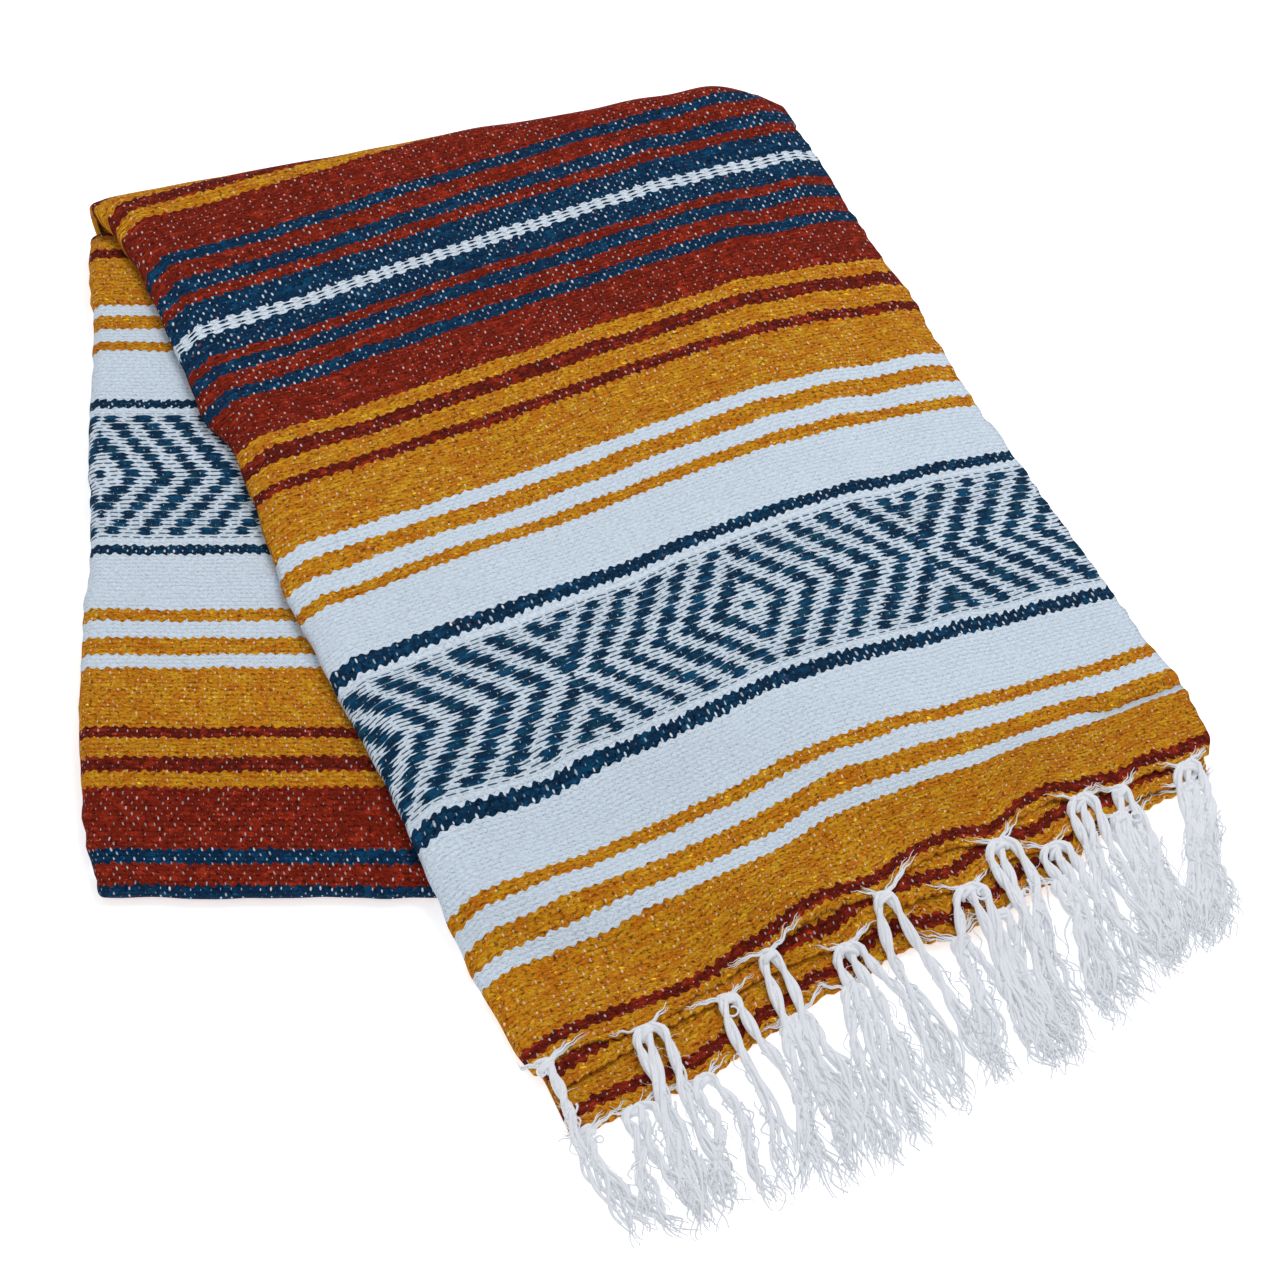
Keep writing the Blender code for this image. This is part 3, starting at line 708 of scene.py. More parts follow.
# Places across of each layer's knots, and its end's line: place across, distance back.
KNOTS_ONE = (-0.1965, -0.1429, -0.0678, -0.0019, 0.0691, 0.1232, 0.1470, 0.1881)
KNOTS_TWO = (-0.0966, -0.0290, 0.0413, 0.0960, 0.1391, 0.1830)
KNOTS_THREE = (-0.1916, -0.1640, -0.1271, -0.0700, -0.0361, 0.0272, 0.0526, 0.0913, 0.1402,
               0.1882)
ENDS_ONE = np.array([
    (-0.205, -0.0090), (-0.181, -0.0065), (-0.150, -0.0100), (-0.128, -0.0090),
    (-0.105, -0.0048), (-0.068, 0.0030), (-0.002, 0.0050), (0.069, 0.0102), (0.123, 0.0185),
    (0.144, 0.0172), (0.175, 0.0180), (0.205, 0.0135)])
ENDS_TWO = np.array([
    (-0.205, -0.0230), (-0.097, -0.0106), (-0.029, -0.0093), (0.041, -0.0068),
    (0.139, 0.0039), (0.205, 0.0085)])
ENDS_THREE = np.array([
    (-0.205, -0.0480), (-0.127, -0.0455), (-0.036, -0.0289), (0.027, -0.0276),
    (0.053, -0.0254), (0.091, -0.0189), (0.140, -0.0013), (0.205, 0.0060)])


class End:
    """A layer's ragged end: it reaches furthest at each knot of the fringe."""

    def __init__(self, line, knots, depth, seed):
        self.line, self.knots, self.depth, self.seed = line, knots, depth, seed
        rng = np.random.default_rng(seed)
        places = [-0.222, *knots, 0.228]
        self.spans = []
        for low, high in zip(places, places[1:]):
            size = depth * min((high - low) / 0.06, 1.25) * rng.uniform(0.6, 1.25)
            self.spans.append((low, high, size * (0.25 if low < -0.13 else 1.0)))

    def __call__(self, across):
        back = eased(across, self.line)
        for low, high, size in self.spans:
            share = np.clip((across - low) / (high - low), 0.0, 1.0)
            back = back + size * np.sin(math.pi * share) ** 0.9
        back = back + 0.0007 * np.sin(across * 2.0 * math.pi / 0.0071)
        return back + 0.0008 * ripple(across, across, 0.013, self.seed)

    def gather(self, across, past):
        """Height of the soft folds that run back from the knots."""
        wave = 0.0 * across
        for low, high, size in self.spans:
            share = np.clip((across - low) / (high - low), 0.0, 1.0)
            wave = wave + size * np.sin(2.0 * math.pi * share) ** 2 * (share > 0) * (share < 1)
        return 0.16 * wave * np.exp(-past / 0.011)


END_ONE = End(ENDS_ONE, KNOTS_ONE, 0.0072, 21)
END_TWO = End(ENDS_TWO, KNOTS_TWO, 0.0060, 22)
END_THREE = End(ENDS_THREE, KNOTS_THREE, 0.0060, 23)


def leaf_grid(columns, rows, end, crowd, inset, trim=0.0):
    """Places across and back of a layer's points, from its end to the back fold."""
    share = np.linspace(0.0, 1.0, columns)[None, :]
    nominal = LEAF_WIDTH / 2.0 - LEAF_WIDTH * share
    start = fold_back(nominal * 0.97, roll_radius(nominal * 0.97))
    step = np.linspace(0.0, 1.0, rows)[:, None] ** crowd
    right, left = eased(np.array(0.02), RIGHT_EDGE) - trim, eased(np.array(0.0), LEFT_EDGE) + inset
    first = end(right + (left - right) * share)
    back = first + (start - first) * step
    right, left = eased(back, RIGHT_EDGE) - trim, eased(back, LEFT_EDGE) + inset
    across = right + (left - right) * share
    return across, back, back - first


def fold_edge(back, angles, depth):
    """Points around the folded left edge, at a depth below the outer face."""
    edge = eased(back, LEFT_EDGE)[:, -1:]
    back = back[:, -1:]
    inward = CURL - (CURL - depth) * np.sin(angles)[None, :]
    drop = CURL - (CURL - depth) * np.cos(angles)[None, :]
    crumple = 0.0006 * ripple(back, 0.006 * angles[None, :], 0.018, 83)
    x, y = plan(back, edge + inward + crumple * np.sin(angles)[None, :])
    at_x, at_y = plan(back, edge + CURL)
    top = underside(at_x, at_y) + STACK
    return np.stack([x, y, top - drop], axis=2), np.broadcast_to(top, x.shape)


def selvedge(across, back):
    """Uneven right edge."""
    none = 0.0 * back
    bump = 0.0009 * ripple(back, none, 0.011, 91) + 0.0007 * ripple(back, none, 0.034, 92)
    return bump * smooth((across - eased(back, RIGHT_EDGE) + 0.012) / 0.012)


ROLL_STEPS = np.radians(np.linspace(0.0, 178.0, 17)[1:])


def build_top():
    across, back, past = leaf_grid(122, 196, END_ONE, 1.12, CURL)
    angles = np.radians(np.linspace(0.0, 168.0, 12)[1:])
    placed = across + selvedge(across, back)
    faces = []
    for depth in (0.0, WALL):
        x, y = plan(back, placed)
        top = top_height(across, back) + END_ONE.gather(across, past)
        flat = np.stack([x, y, top - depth], axis=2)
        edge, edge_top = fold_edge(back, angles, depth)
        grid = np.concatenate([flat, edge], axis=1)
        tops = np.concatenate([top, edge_top], axis=1)[-1]
        side = np.concatenate([across[-1], np.full(len(angles), across[-1, -1])])
        radius = roll_radius(side)
        depths = tops - grid[-1, :, 2]
        rolled = []
        for angle in ROLL_STEPS:
            soft = 1.0 + 0.05 * np.sin(angle) * ripple(side, side, 0.09, 95)
            reach = (radius * soft - depths) * math.sin(angle) / FOLD_TURN
            rolled.append(np.stack([
                grid[-1, :, 0] - reach * math.sin(LEAF_ANGLE),
                grid[-1, :, 1] + reach * math.cos(LEAF_ANGLE),
                tops - radius + (radius - depths) * math.cos(angle)], axis=1))
        faces.append(np.concatenate([grid, np.array(rolled)], axis=0))
    v = along_top(across, back)
    v = v - np.maximum(v - 0.0095 - past, 0.0) * (1.0 - smooth(past / 0.045))
    u = across_cloth(across)
    turned = angles[None, :] / math.pi
    u = np.concatenate([u, u[:, -1:] + turned * math.pi * CURL], axis=1)
    slip = 0.020 * smooth((back[:, -1:] - 0.50) / 0.08) + 0.003
    v = np.concatenate([v, v[:, -1:] + slip * smooth(turned)], axis=1)
    v = np.concatenate([v, np.minimum(v[-1:] + ROLL_STEPS[:, None] * 0.0148, SMEAR)],
                       axis=0)
    u = np.concatenate([u, np.repeat(u[-1:], len(ROLL_STEPS), axis=0)], axis=0)
    mesh = mesh_of("top_cloth", "cloth", [shell(*faces, np.stack([u, v], axis=2))])
    return link("top_cloth", mesh, WEAVE, "top_leaf_outer")


def build_lower_layer(name, node, level, end, curl):
    """A lower layer of the top leaf: level 1 is the middle one, 0 the lowest."""
    across, back, past = leaf_grid(112, 76, end, 2.2, CURL, 0.0035)
    faces = []
    angles = np.radians(np.linspace(180.0, 171.0, 3)) if curl else None
    placed = across + selvedge(across, back + 0.021 * (2 - level))
    for depth in (0.0, WALL):
        x, y = plan(back, placed)
        soft = 0.0004 * (1.0 + ripple(across, back, 0.03, 31 + level)) * (0.3 + level)
        z = underside(x, y) + level * PITCH + WALL - depth
        z = z + soft * smooth((0.05 - back) / 0.04) + 0.5 * end.gather(across, past) * level
        grid = np.stack([x, y, z], axis=2)
        if curl:
            grid = np.concatenate([grid, fold_edge(back, angles, WALL - depth)[0]], axis=1)
        faces.append(grid)
    v = along_top(across, back)
    v = v + (past + 0.0055 + 0.0020 * ripple(across, back, 0.05, 40 + level) - v) * (
        1.0 - smooth((past - 0.02) / 0.16))
    u = across_cloth(across) + LEAF_WIDTH * (2 - level)
    if curl:
        u = np.concatenate([u, u[:, -1:] + (math.pi - angles[None, :]) * CURL], axis=1)
        v = np.concatenate([v, np.repeat(v[:, -1:], len(angles), axis=1)], axis=1)
    mesh = mesh_of(name, "cloth", [shell(*faces, np.stack([u, v], axis=2))])
    return link(name, mesh, WEAVE, node)


def build_fold_layers():
    """The two layers that turn inside the back fold."""
    share = np.linspace(0.0, 1.0, 40)
    across = 0.198 - 0.001 + (-0.2225 - 0.197) * share
    radius = roll_radius(across)
    start = fold_back(across, radius)
    x, y = plan(start, across)
    top = underside(x, y) + STACK
    run = 0.016
    parts = []
    for level in (1, 2):
        grids = []
        for face in (0.0, WALL):
            depth = level * PITCH + face
            rows = []
            for ahead in (run, run / 2.0):
                rows.append((0.0 * across - ahead, top - depth))
            for angle in np.radians(np.linspace(0.0, 180.0, 15)):
                reach = (radius - depth) * math.sin(angle) / FOLD_TURN
                rows.append((reach, top - radius + (radius - depth) * math.cos(angle)))
            for ahead in (run / 2.0, run):
                rows.append((0.0 * across - ahead, top - 2.0 * radius + depth))
            grids.append(np.array([np.stack([
                x - reach * math.sin(LEAF_ANGLE), y + reach * math.cos(LEAF_ANGLE), z], axis=1)
                for reach, z in rows]))
        length = np.linspace(0.55, 0.55 + 2.0 * run + math.pi * 0.010, len(grids[0]))[:, None]
        u = across_cloth(across) + LEAF_WIDTH * level
        parts.append(shell(*grids, grid_uv(u, length, grids[0].shape[:2])))
    mesh = mesh_of("fold_layers", "cloth", parts)
    return link("fold_layers", mesh, WEAVE, "hidden_layers")


# ------------------------------------------------------------------ under leaf

def turn_line(x):
    before = TURN_REACH / math.cos(FOLD_ANGLE)
    return FOLD_POINT[1] + math.tan(FOLD_ANGLE) * (x - FOLD_POINT[0]) - before


def under_left_edge(y):
    """The under leaf's left edge as it lies, with its rounded near corner."""
    corner = 0.0068 * (1.0 - smooth((y - NOSE_Y + 0.010) / 0.034))
    fine = 0.0006 * ripple(y, 0.0 * y, 0.012, 57)
    return under_left(y) + eased(y, UNDER_STRAY) + corner + fine


def under_frame(rows, past):
    """Ends of the under leaf's rows at its right and left edges."""
    far_left = turn_line(under_left(FOLD_POINT[1])) - TURN_MARGIN
    far_right = turn_line(under_left(FOLD_POINT[1]) + LEAF_WIDTH) - TURN_MARGIN - CORNER_CLEAR
    step = np.linspace(0.0, 1.0, rows)[:, None]
    ends = [NOSE_Y + (far + past - NOSE_Y) * step for far in (far_right, far_left)]
    edges = [under_left(ends[0]) + LEAF_WIDTH, under_left_edge(ends[1])]
    return ends, edges


def rounded_rows(ends, edges, heights, share, angles, inset):
    """Rows from the right edge to the left: x, y, and depth below the rounded edges."""
    turns = []
    for side, edge, end, height in zip((1.0, -1.0), edges, ends, heights):
        radius = height / 4.0
        reach = (radius - inset) * np.sin(angles)
        depth = radius - (radius - inset) * np.cos(angles)
        turns.append((edge - side * (radius - reach), end + 0.0 * angles, depth))
    inner = [edges[0] - heights[0] / 4.0, edges[1] + heights[1] / 4.0]
    x = inner[0] + (inner[1] - inner[0]) * share
    y = ends[0] + (ends[1] - ends[0]) * share
    return [np.concatenate([right, flat, left[:, ::-1]], axis=1)
            for right, flat, left in zip(turns[0], (x, y, inset + 0.0 * x), turns[1])]


def along_under(y, z):
    """Place along the cloth of a point of the under leaf that can be seen."""
    seen = y - (0.030 - z) * 0.727
    return np.interp(-seen, -UNDER_PATTERN[:, 1], UNDER_PATTERN[:, 0])


def build_under():
    columns, rows, past = 100, 112, 0.018
    ends, edges = under_frame(rows, past)
    heights = [under_top(x, y) for x, y in zip(edges, ends)]
    share = np.linspace(0.0, 1.0, columns)[None, :]
    angles = np.radians(np.linspace(165.0, 0.0, 11)[:-1])[None, :]
    step = np.linspace(0.0, 1.0, rows)[:, None]
    length = (ends[1][-1] - ends[1][0])[0]
    sink = 0.0075 * smooth((step * length - (length - past)) / past)
    faces = []
    for inset in (0.0, WALL):
        x, y, depth = rounded_rows(ends, edges, heights, share, angles, inset)
        flat_x, flat_y = x[:, 10:-10], y[:, 10:-10]
        soft = 0.0007 * ripple(flat_x, flat_y, 0.07, 51)
        soft = soft + 0.0003 * ripple(flat_x, flat_y, 0.02, 52)
        soft = soft * smooth((flat_y + 0.15) / 0.03) * smooth((flat_x - flat_x[:, -1:]) / 0.02)
        height = np.concatenate([heights[0] + 0.0 * angles, under_top(flat_x, flat_y) + soft,
                                 heights[1] + 0.0 * angles], axis=1)
        grid = np.stack([x, y, height - depth - sink], axis=2)
        nose = []
        for angle in np.radians(np.linspace(180.0, 0.0, 17)[:-1]):
            radius = height[0] / 2.0
            sag = (0.0009 * ripple(x[0], 0.0 * x[0], 0.06, 61)
                   + 0.0004 * ripple(x[0], 0.0 * x[0], 0.016, 62)) * math.sin(angle)
            nose.append(np.stack([
                x[0], y[0] - (radius - depth[0]) * math.sin(angle) + sag,
                np.maximum(radius + (radius - depth[0]) * math.cos(angle), 0.0)], axis=1))
        faces.append(np.concatenate([np.array(nose), grid], axis=0))
    seen = faces[0][16:]
    v = along_under(seen[:, :, 1], seen[:, :, 2])
    v[:, :10] = along_under(seen[:, :10, 1], seen[:, 10:11, 2])
    v[:, -10:] = along_under(seen[:, -10:, 1], seen[:, -11:-10, 2])
    v = v + 0.0006 * ripple(seen[:, :, 0], seen[:, :, 1], 0.07, 71)
    v = v + 0.0004 * ripple(seen[:, :, 0], seen[:, :, 1], 0.03, 72)
    around = np.radians(np.linspace(180.0, 0.0, 17)[:-1])[:, None]
    v = np.concatenate([v[:1] + 0.95 * around * height[:1] / 2.0, v], axis=0)
    path = path_length(faces[0][60])
    u = FIGURE_PERIOD * 2.0 + (path[-1] - path) - 0.022
    u = np.repeat(u[None, :], len(v), axis=0)
    mesh = mesh_of("under_cloth", "cloth", [shell(*faces, np.stack([u, v], axis=2))])
    return link("under_cloth", mesh, WEAVE, "under_leaf_outer")


def low_height(x, y):
    """Height of the lowest layers' own fold, under the back fold."""
    return underside(x, y) * (1.0 - 2.0 * ROLL_SHARE) + WALL


def build_lower():
    """The blanket's lowest layer: flat below, turned up at its sides and its back."""
    columns, rows = 60, 60
    ends, edges = under_frame(rows, 0.0)
    ends = [np.maximum(end, NOSE_Y + 0.0004) for end in ends]
    heights = [under_top(x, y) for x, y in zip(edges, ends)]
    share = np.linspace(0.0, 1.0, columns)[None, :]
    angles = np.radians(np.linspace(162.0, 0.0, 11)[:-1])[None, :]
    faces = []
    for inset in (0.0, WALL):
        x, y, up = rounded_rows(ends, edges, heights, share, angles, inset)
        grid = np.stack([x, y, np.maximum(up, 0.0)], axis=2)
        lobe = []
        full = low_height(x[-1], y[-1]) / 2.0
        level = np.minimum(up[-1], 2.0 * full - 0.0005)
        for angle in np.radians(np.linspace(0.0, 165.0, 14)[1:]):
            reach = TURN_REACH - 0.0085
            lobe.append(np.stack([
                x[-1], y[-1] + reach + (full - level) * math.sin(angle),
                full - (full - level) * math.cos(angle)], axis=1))
        faces.append(np.concatenate([grid, np.array(lobe)], axis=0))
    width, length = path_length(faces[0][30]), path_length(faces[0][:, 40])
    uv = grid_uv(width, 1.0905 + length[:, None], faces[0].shape[:2])
    mesh = mesh_of("lower_cloth", "cloth", [shell(*faces, uv)])
    return link("lower_cloth", mesh, WEAVE, "hidden_layers")


def build_inner():
    """Folded layers inside the stack, seen only in the creases of its sides."""
    rows, passes = 40, 4
    ends, edges = under_frame(rows, 0.0)
    ends = [end + 0.004 * (1.0 - (end - NOSE_Y) / 0.43) for end in ends]
    heights = [under_top(x, y) for x, y in zip(edges, ends)]
    grids = []
    for face in (0.0, 1.0):
        sections = []
        for row in range(rows):
            right, left = edges[0][row, 0], edges[1][row, 0]
            at_right, at_left = ends[0][row, 0], ends[1][row, 0]
            near = min(heights[0][row, 0], heights[1][row, 0])
            pitch = (near - 2.0 * WALL - 0.0015) / passes
            wall = min(WALL, pitch * 0.8)
            points = []
            for number in range(passes):
                height = WALL + 0.0006 + pitch * (number + 0.5)
                offset = (face - 0.5) * wall * (1.0 if number % 2 else -1.0)
                places = np.linspace(0.012, 0.988, 9)
                if number % 2:
                    places = places[::-1]
                for place in places:
                    grow = under_top(right + (left - right) * place, at_left) / max(near, 1e-6)
                    points.append((place, (height + offset) * min(max(grow, 0.6), 1.0), 0.0))
                if number < passes - 1:
                    middle = height + pitch / 2.0
                    bulge = (pitch / 2.0 + (0.5 - face) * wall)
                    out = -1.0 if number % 2 else 1.0
                    for angle in np.radians((45.0, 90.0, 135.0)):
                        points.append((places[-1], middle - bulge * math.cos(angle),
                                       out * bulge * math.sin(angle)))
            sections.append([(right + (left - right) * place - push,
                              at_right + (at_left - at_right) * place, height)
                             for place, height, push in points])
        grids.append(np.array(sections))
    length = np.linspace(1.10, 1.53, rows)[:, None]
    uv = grid_uv(path_length(grids[0][20]), length, grids[0].shape[:2])
    mesh = mesh_of("inner_layers", "cloth", [shell(*grids, uv)])
    return link("inner_layers", mesh, WEAVE, "hidden_layers")


# ---------------------------------------------------------------------- fringe

def tube(points, radius, sides):
    """Points, faces and UVs of a tube along a path."""
    ahead = np.gradient(points, axis=0)
    ahead /= np.linalg.norm(ahead, axis=1, keepdims=True) + 1e-9
    side = np.cross(ahead, [0.0, 0.0, 1.0])
    side /= np.linalg.norm(side, axis=1, keepdims=True) + 1e-9
    rise = np.cross(side, ahead)
    turn = np.linspace(0.0, 2.0 * math.pi, sides, endpoint=False) - math.pi / 2.0
    ring = points[:, None, :] + radius[:, None, None] * (
        np.cos(turn)[None, :, None] * side[:, None, :]
        + np.sin(turn)[None, :, None] * rise[:, None, :])
    count = len(points)
    row, column = np.meshgrid(np.arange(count - 1), np.arange(sides), indexing="ij")
    following = (column + 1) % sides
    faces = np.stack([row * sides + column, row * sides + following,
                      (row + 1) * sides + following, (row + 1) * sides + column], axis=2)
    uv = grid_uv(turn, path_length(points)[:, None], (count, sides))
    return ring.reshape(-1, 3), faces.reshape(-1, 4), uv.reshape(-1, 2)


class Bundle:
    """Collects tubes into one mesh."""

    def __init__(self):
        self.points, self.faces, self.uv, self.count = [], [], [], 0

    def add(self, path, radius, sides=5):
        radius = np.broadcast_to(np.asarray(radius, dtype=float), (len(path),)).copy()
        path = path.copy()
        path[:, 2] = np.maximum(path[:, 2], radius)
        points, faces, uv = tube(path, radius, sides)
        caps = len(points)
        self.points.append(np.concatenate([points, path[:1], path[-1:]]))
        self.uv.append(np.concatenate([uv, uv[:1], uv[-1:]]))
        self.faces += (faces + self.count).tolist()
        base = self.count
        for a in range(sides):
            b = (a + 1) % sides
            last = base + caps - sides
            self.faces.append([base + caps, base + b, base + a])
            self.faces.append([base + caps + 1, last + a, last + b])
        self.count += caps + 2

    def mesh(self, name):
        part = np.concatenate(self.points), self.faces, np.concatenate(self.uv)
        return mesh_of(name, "strand", [part])


# The line of the fringe's tips: place across, and distance back.
TIPS = np.array([
    (-0.2050, -0.1050), (-0.1928, -0.1163), (-0.1679, -0.1200), (-0.1313, -0.1220),
    (-0.0898, -0.1270), (-0.0568, -0.1270), (-0.0184, -0.1180), (0.0122, -0.1130),
    (0.0392, -0.1148), (0.0898, -0.0990), (0.1135, -0.0930), (0.1436, -0.0890),
    (0.1700, -0.0720), (0.1900, -0.0560)])


def add_gather(bundle, rng, end, knot, level):
    """Threads drawn along the cloth's end into a knot, splayed at their far ends."""
    root = float(end(np.array([knot]))[0])
    for side in (-1.0, 1.0):
        length = rng.uniform(0.015, 0.029)
        inside = rng.uniform(0.0010, 0.0045)
        for _ in range(7):
            t = np.linspace(0.0, 1.0, 12)
            reach = side * length * rng.uniform(0.45, 1.0)
            across = np.clip(knot + reach * t, -0.209, 0.203)
            spread = rng.uniform(-0.0016, 0.0016)
            back = end(across) * t ** 0.5 + root * (1.0 - t ** 0.5)
            back = back + inside * t + spread * (1.0 - t)
            back = back + rng.uniform(-0.0012, 0.0042) * t ** 1.5
            x, y = plan(back, across)
            surface = underside(x, y) + level * PITCH + WALL
            if level == 2:
                surface = np.maximum(surface, top_height(across, back))
            z = surface + 0.0004 + rng.uniform(0.0, 0.0012) * np.sin(math.pi * t ** 0.6)
            thick = rng.uniform(0.00045, 0.00075) * (1.0 - 0.82 * t)
            bundle.add(np.stack([x, y, z], axis=1), thick, 4)


def add_cord(bundle, rng, knot, root_back, root_height, place, count):
    """A soft two-ply cord that comes apart and fluffs out towards its tip."""
    t = np.linspace(0.0, 1.0, 42)
    offset = (place - (count - 1) / 2.0) * 0.0076 + rng.normal(0.0, 0.0008)
    lean = rng.normal(0.0, 0.0080) + offset * rng.uniform(1.1, 2.4)
    lean = lean - 0.002 - 0.034 * float(smooth((knot - 0.110) / 0.080))
    if knot < -0.19:
        lean = 0.004
    tip_across = np.clip(knot + lean, -0.203, 0.160)
    tip_back = float(np.interp(tip_across, TIPS[:, 0], TIPS[:, 1])) + rng.uniform(-0.004, 0.008)
    swing = rng.uniform(0.0018, 0.0048)
    wave = swing * np.sin(t * rng.uniform(3.5, 8.0) + rng.uniform(0.0, 6.3))
    across = knot + offset * smooth(t / 0.10 + 0.35) + (tip_across - knot - offset) * t ** 1.15
    across = across + wave * smooth(t / 0.4)
    back = root_back + 0.002 + (tip_back - root_back - 0.002) * t
    x, y = plan(back, across)
    z = underside(x, y) + 0.0040 + rng.uniform(0.0, 0.0030) * (1.0 - t)
    z = z + (root_height + 0.0020 - z[0]) * np.exp(-t * rng.uniform(5.0, 9.0))
    axis = (math.cos(LEAF_ANGLE), math.sin(LEAF_ANGLE))
    loosen = smooth((t - rng.uniform(0.15, 0.40)) / 0.50)
    turns = rng.uniform(2.4, 3.8)
    for ply in range(2):
        turn = (turns * t * (1.0 - 0.35 * loosen) + ply / 2.0) * 2.0 * math.pi
        apart = loosen * rng.normal(0.0, 0.0032)
        ply_aside = (0.00135 + 0.0005 * loosen) * np.cos(turn) * smooth(t / 0.03 + 0.4) + apart
        ply_up = 0.00115 * np.sin(turn)
        for yarn in range(4):
            angle = turn * 0.5 + (yarn / 4.0) * 2.0 * math.pi + rng.normal(0.0, 0.3)
            fine = (0.00020 + 0.0015 * loosen) * np.sin(
                t * rng.uniform(10.0, 30.0) + rng.uniform(0.0, 6.3))
            aside = ply_aside + 0.00080 * np.cos(angle) + loosen * rng.normal(0.0, 0.0019) + fine
            up = ply_up + 0.00075 * np.sin(angle) + 0.4 * fine
            s = t * (1.0 - rng.uniform(0.0, 0.15))
            line = np.stack([np.interp(s, t, x + aside * axis[0]),
                             np.interp(s, t, y + aside * axis[1]),
                             np.interp(s, t, z + up)], axis=1)
            thick = rng.uniform(0.00112, 0.00142) * (1.0 - 0.25 * loosen)
            thick = thick * (1.0 - 0.70 * smooth((t - 0.80) / 0.20))
            line[:, 2] = np.maximum(line[:, 2], underside(line[:, 0], line[:, 1]) + thick)
            bundle.add(line, thick, 5)
    # fluff that has come loose from the yarns
    for _ in range(20):
        first = rng.uniform(0.20, 0.86)
        s = np.linspace(first, min(first + rng.uniform(0.12, 0.30), 1.02), 11)
        grow = (s - first) / (s[-1] - first)
        aside = rng.normal(0.0, 0.0022) + rng.normal(0.0, 0.0036) * grow
        aside = aside + rng.uniform(0.0008, 0.0026) * np.sin(
            grow * rng.uniform(4.0, 12.0) + rng.uniform(0.0, 6.3))
        line = np.stack([np.interp(s, t, x) + aside * axis[0],
                         np.interp(s, t, y) + aside * axis[1],
                         np.interp(s, t, z) + rng.uniform(-0.0010, 0.0022)], axis=1)
        thick = rng.uniform(0.00040, 0.00085) * (1.0 - 0.6 * grow)
        line[:, 2] = np.maximum(line[:, 2], underside(line[:, 0], line[:, 1]) + thick)
        bundle.add(line, thick, 4)
    return x, y, z


def add_knot(bundle, rng, knot, root_back, root_height):
    """The knot itself: soft yarns drawn slantwise over the neck of the cords."""
    for number in range(3):
        t = np.linspace(0.0, 1.0, 12)
        angle = math.pi * (1.08 - 1.16 * t)
        slant = rng.choice((-1.0, 1.0)) * rng.uniform(0.0015, 0.0060)
        half = rng.uniform(0.0030, 0.0042)
        across = knot + half * np.cos(angle)
        back = root_back + 0.0010 - 0.0019 * number + slant * (t - 0.5)
        x, y = plan(back, across)
        z = root_height + 0.0002 + rng.uniform(0.0026, 0.0036) * np.sin(angle)
        bundle.add(np.stack([x, y, z], axis=1), rng.uniform(0.0011, 0.0015), 6)


def add_curl(bundle, rng, path):
    """A yarn that has sprung back into a small curl beside its cord."""
    first = int(rng.integers(1, 12))
    t = np.linspace(0.0, 1.0, 22)
    angle = rng.uniform(0.0, 2.0 * math.pi) + rng.choice((-1.0, 1.0)) * t * rng.uniform(4.5, 8.5)
    size = rng.uniform(0.0022, 0.0042) * (1.0 - 0.45 * t)
    aside = rng.choice((-1.0, 1.0)) * rng.uniform(0.003, 0.006)
    line = np.stack([path[0][first] + aside + size * np.cos(angle),
                     path[1][first] + size * np.sin(angle),
                     path[2][first] + 0.0006 + 0.0010 * t], axis=1)
    bundle.add(line, rng.uniform(0.0005, 0.0008), 5)


def add_hair(bundle, rng, path):
    """A fine fibre that stands off a cord."""
    first = rng.integers(4, 38)
    t = np.linspace(0.0, 1.0, 7)
    size = rng.uniform(0.003, 0.009)
    way = rng.uniform(0.0, 2.0 * math.pi)
    bend = rng.normal(0.0, 1.2)
    hair = np.stack([path[0][first] + size * t * np.cos(way + bend * t),
                     path[1][first] + size * t * np.sin(way + bend * t),
                     path[2][first] + 0.0012 + size * 0.35 * np.sin(t * 2.2)], axis=1)
    bundle.add(hair, 0.00020 * (1.2 - t), 3)


def build_fringe(name, node, end, level, seed):
    """The fringe of one layer: up to three cords hang from each knot."""
    rng = np.random.default_rng(seed)
    bundle = Bundle()
    for knot in end.knots:
        root_back = float(end(np.array([knot]))[0])
        x, y = plan(root_back, knot)
        root_height = float(underside(x, y)) + level * PITCH + WALL * 0.8
        add_knot(bundle, rng, knot, root_back, root_height)
        add_gather(bundle, rng, end, knot, level)
        count = 1 if knot < -0.19 else 3 - int(rng.uniform() < 0.35)
        for place in range(count):
            path = add_cord(bundle, rng, knot, root_back, root_height, place, count)
            if rng.uniform() < 0.3:
                add_curl(bundle, rng, path)
            for _ in range(12):
                add_hair(bundle, rng, path)
    return link(name, bundle.mesh(name), COTTON, node)


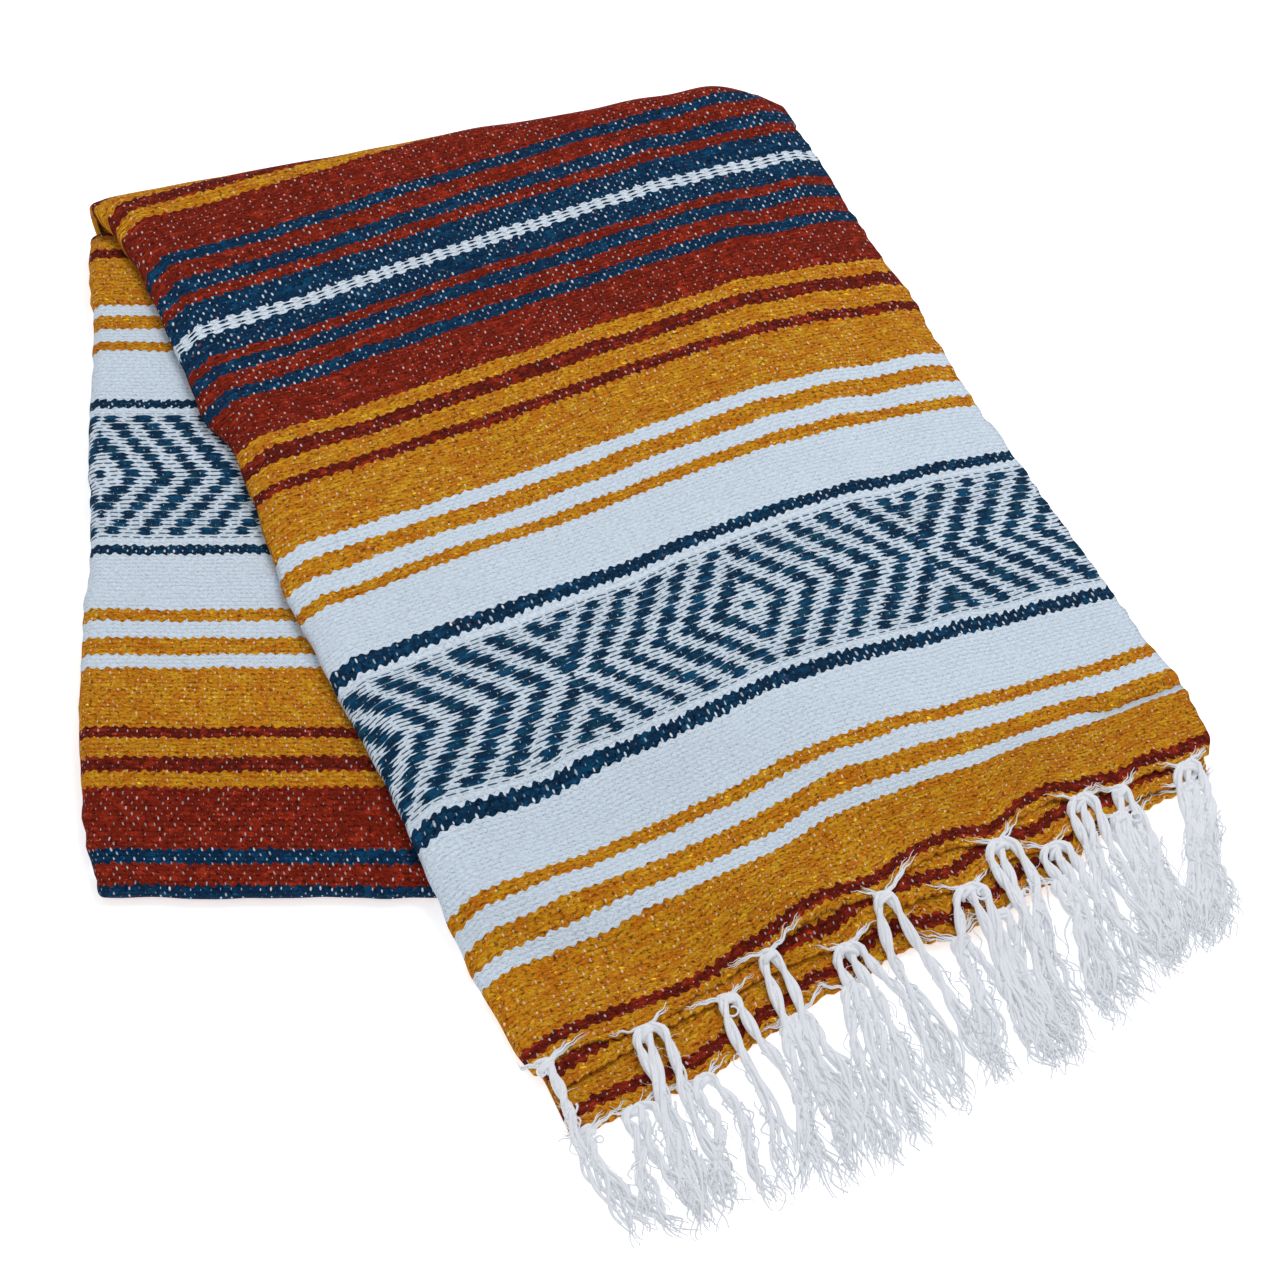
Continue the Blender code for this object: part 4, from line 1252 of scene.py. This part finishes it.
top = build_top()
second = build_lower_layer("second_cloth", "top_leaf_middle", 1, END_TWO, False)
third = build_lower_layer("third_cloth", "top_leaf_inner", 0, END_THREE, True)
under = build_under()
lower = build_lower()
turned = build_fold_layers()
inner = build_inner()
fringe_one = build_fringe("fringe_first", "fringe_outer", END_ONE, 2, 101)
fringe_two = build_fringe("fringe_second", "fringe_middle", END_TWO, 1, 102)
fringe_three = build_fringe("fringe_third", "fringe_inner", END_THREE, 0, 103)

# ------------------------------------------------------- floor, light and camera

bpy.ops.mesh.primitive_plane_add(size=40.0)
floor = bpy.context.object
floor.name = "floor"
paint = bpy.data.materials.new("floor_paint")
paint.use_nodes = True
set_inputs(paint.node_tree.nodes["Principled BSDF"], {
    "Base Color": (0.84, 0.84, 0.84, 1.0), "Roughness": 0.9,
    "Emission Color": (1.0, 1.0, 1.0, 1.0), "Emission Strength": 0.56})
floor.data.materials.append(paint)

world = bpy.data.worlds.new("studio")
world.use_nodes = True
set_inputs(world.node_tree.nodes["Background"], {
    "Color": (1.0, 1.0, 1.0, 1.0), "Strength": 0.50})
bpy.context.scene.world = world


def soft_light(name, place, size, energy):
    """A round lamp that looks at the middle of the floor."""
    lamp = bpy.data.lights.new(name, "AREA")
    lamp.shape = "DISK"
    lamp.size = size
    lamp.energy = energy
    made = bpy.data.objects.new(name, lamp)
    made.location = place
    direction = -np.array(place)
    made.rotation_euler = (math.atan2(math.hypot(direction[0], direction[1]), -direction[2]), 0.0,
                           math.atan2(direction[0], -direction[1]) + math.pi)
    bpy.context.scene.collection.objects.link(made)


soft_light("key", (0.7, 0.8, 2.2), 1.4, 30.0)
soft_light("fill", (-1.4, -1.2, 1.8), 2.0, 7.0)

DISTANCE = 1.59
ELEVATION = math.radians(54.0)
view = bpy.data.cameras.new("camera")
view.lens = 80.0
view.sensor_width = 36.0
camera = bpy.data.objects.new("camera", view)
camera.location = (SHIFT[0], SHIFT[1] - DISTANCE * math.cos(ELEVATION),
                   DISTANCE * math.sin(ELEVATION))
camera.rotation_euler = (math.pi / 2.0 - ELEVATION, 0.0, 0.0)
bpy.context.scene.collection.objects.link(camera)
bpy.context.scene.camera = camera
bpy.context.scene.view_settings.view_transform = "Standard"
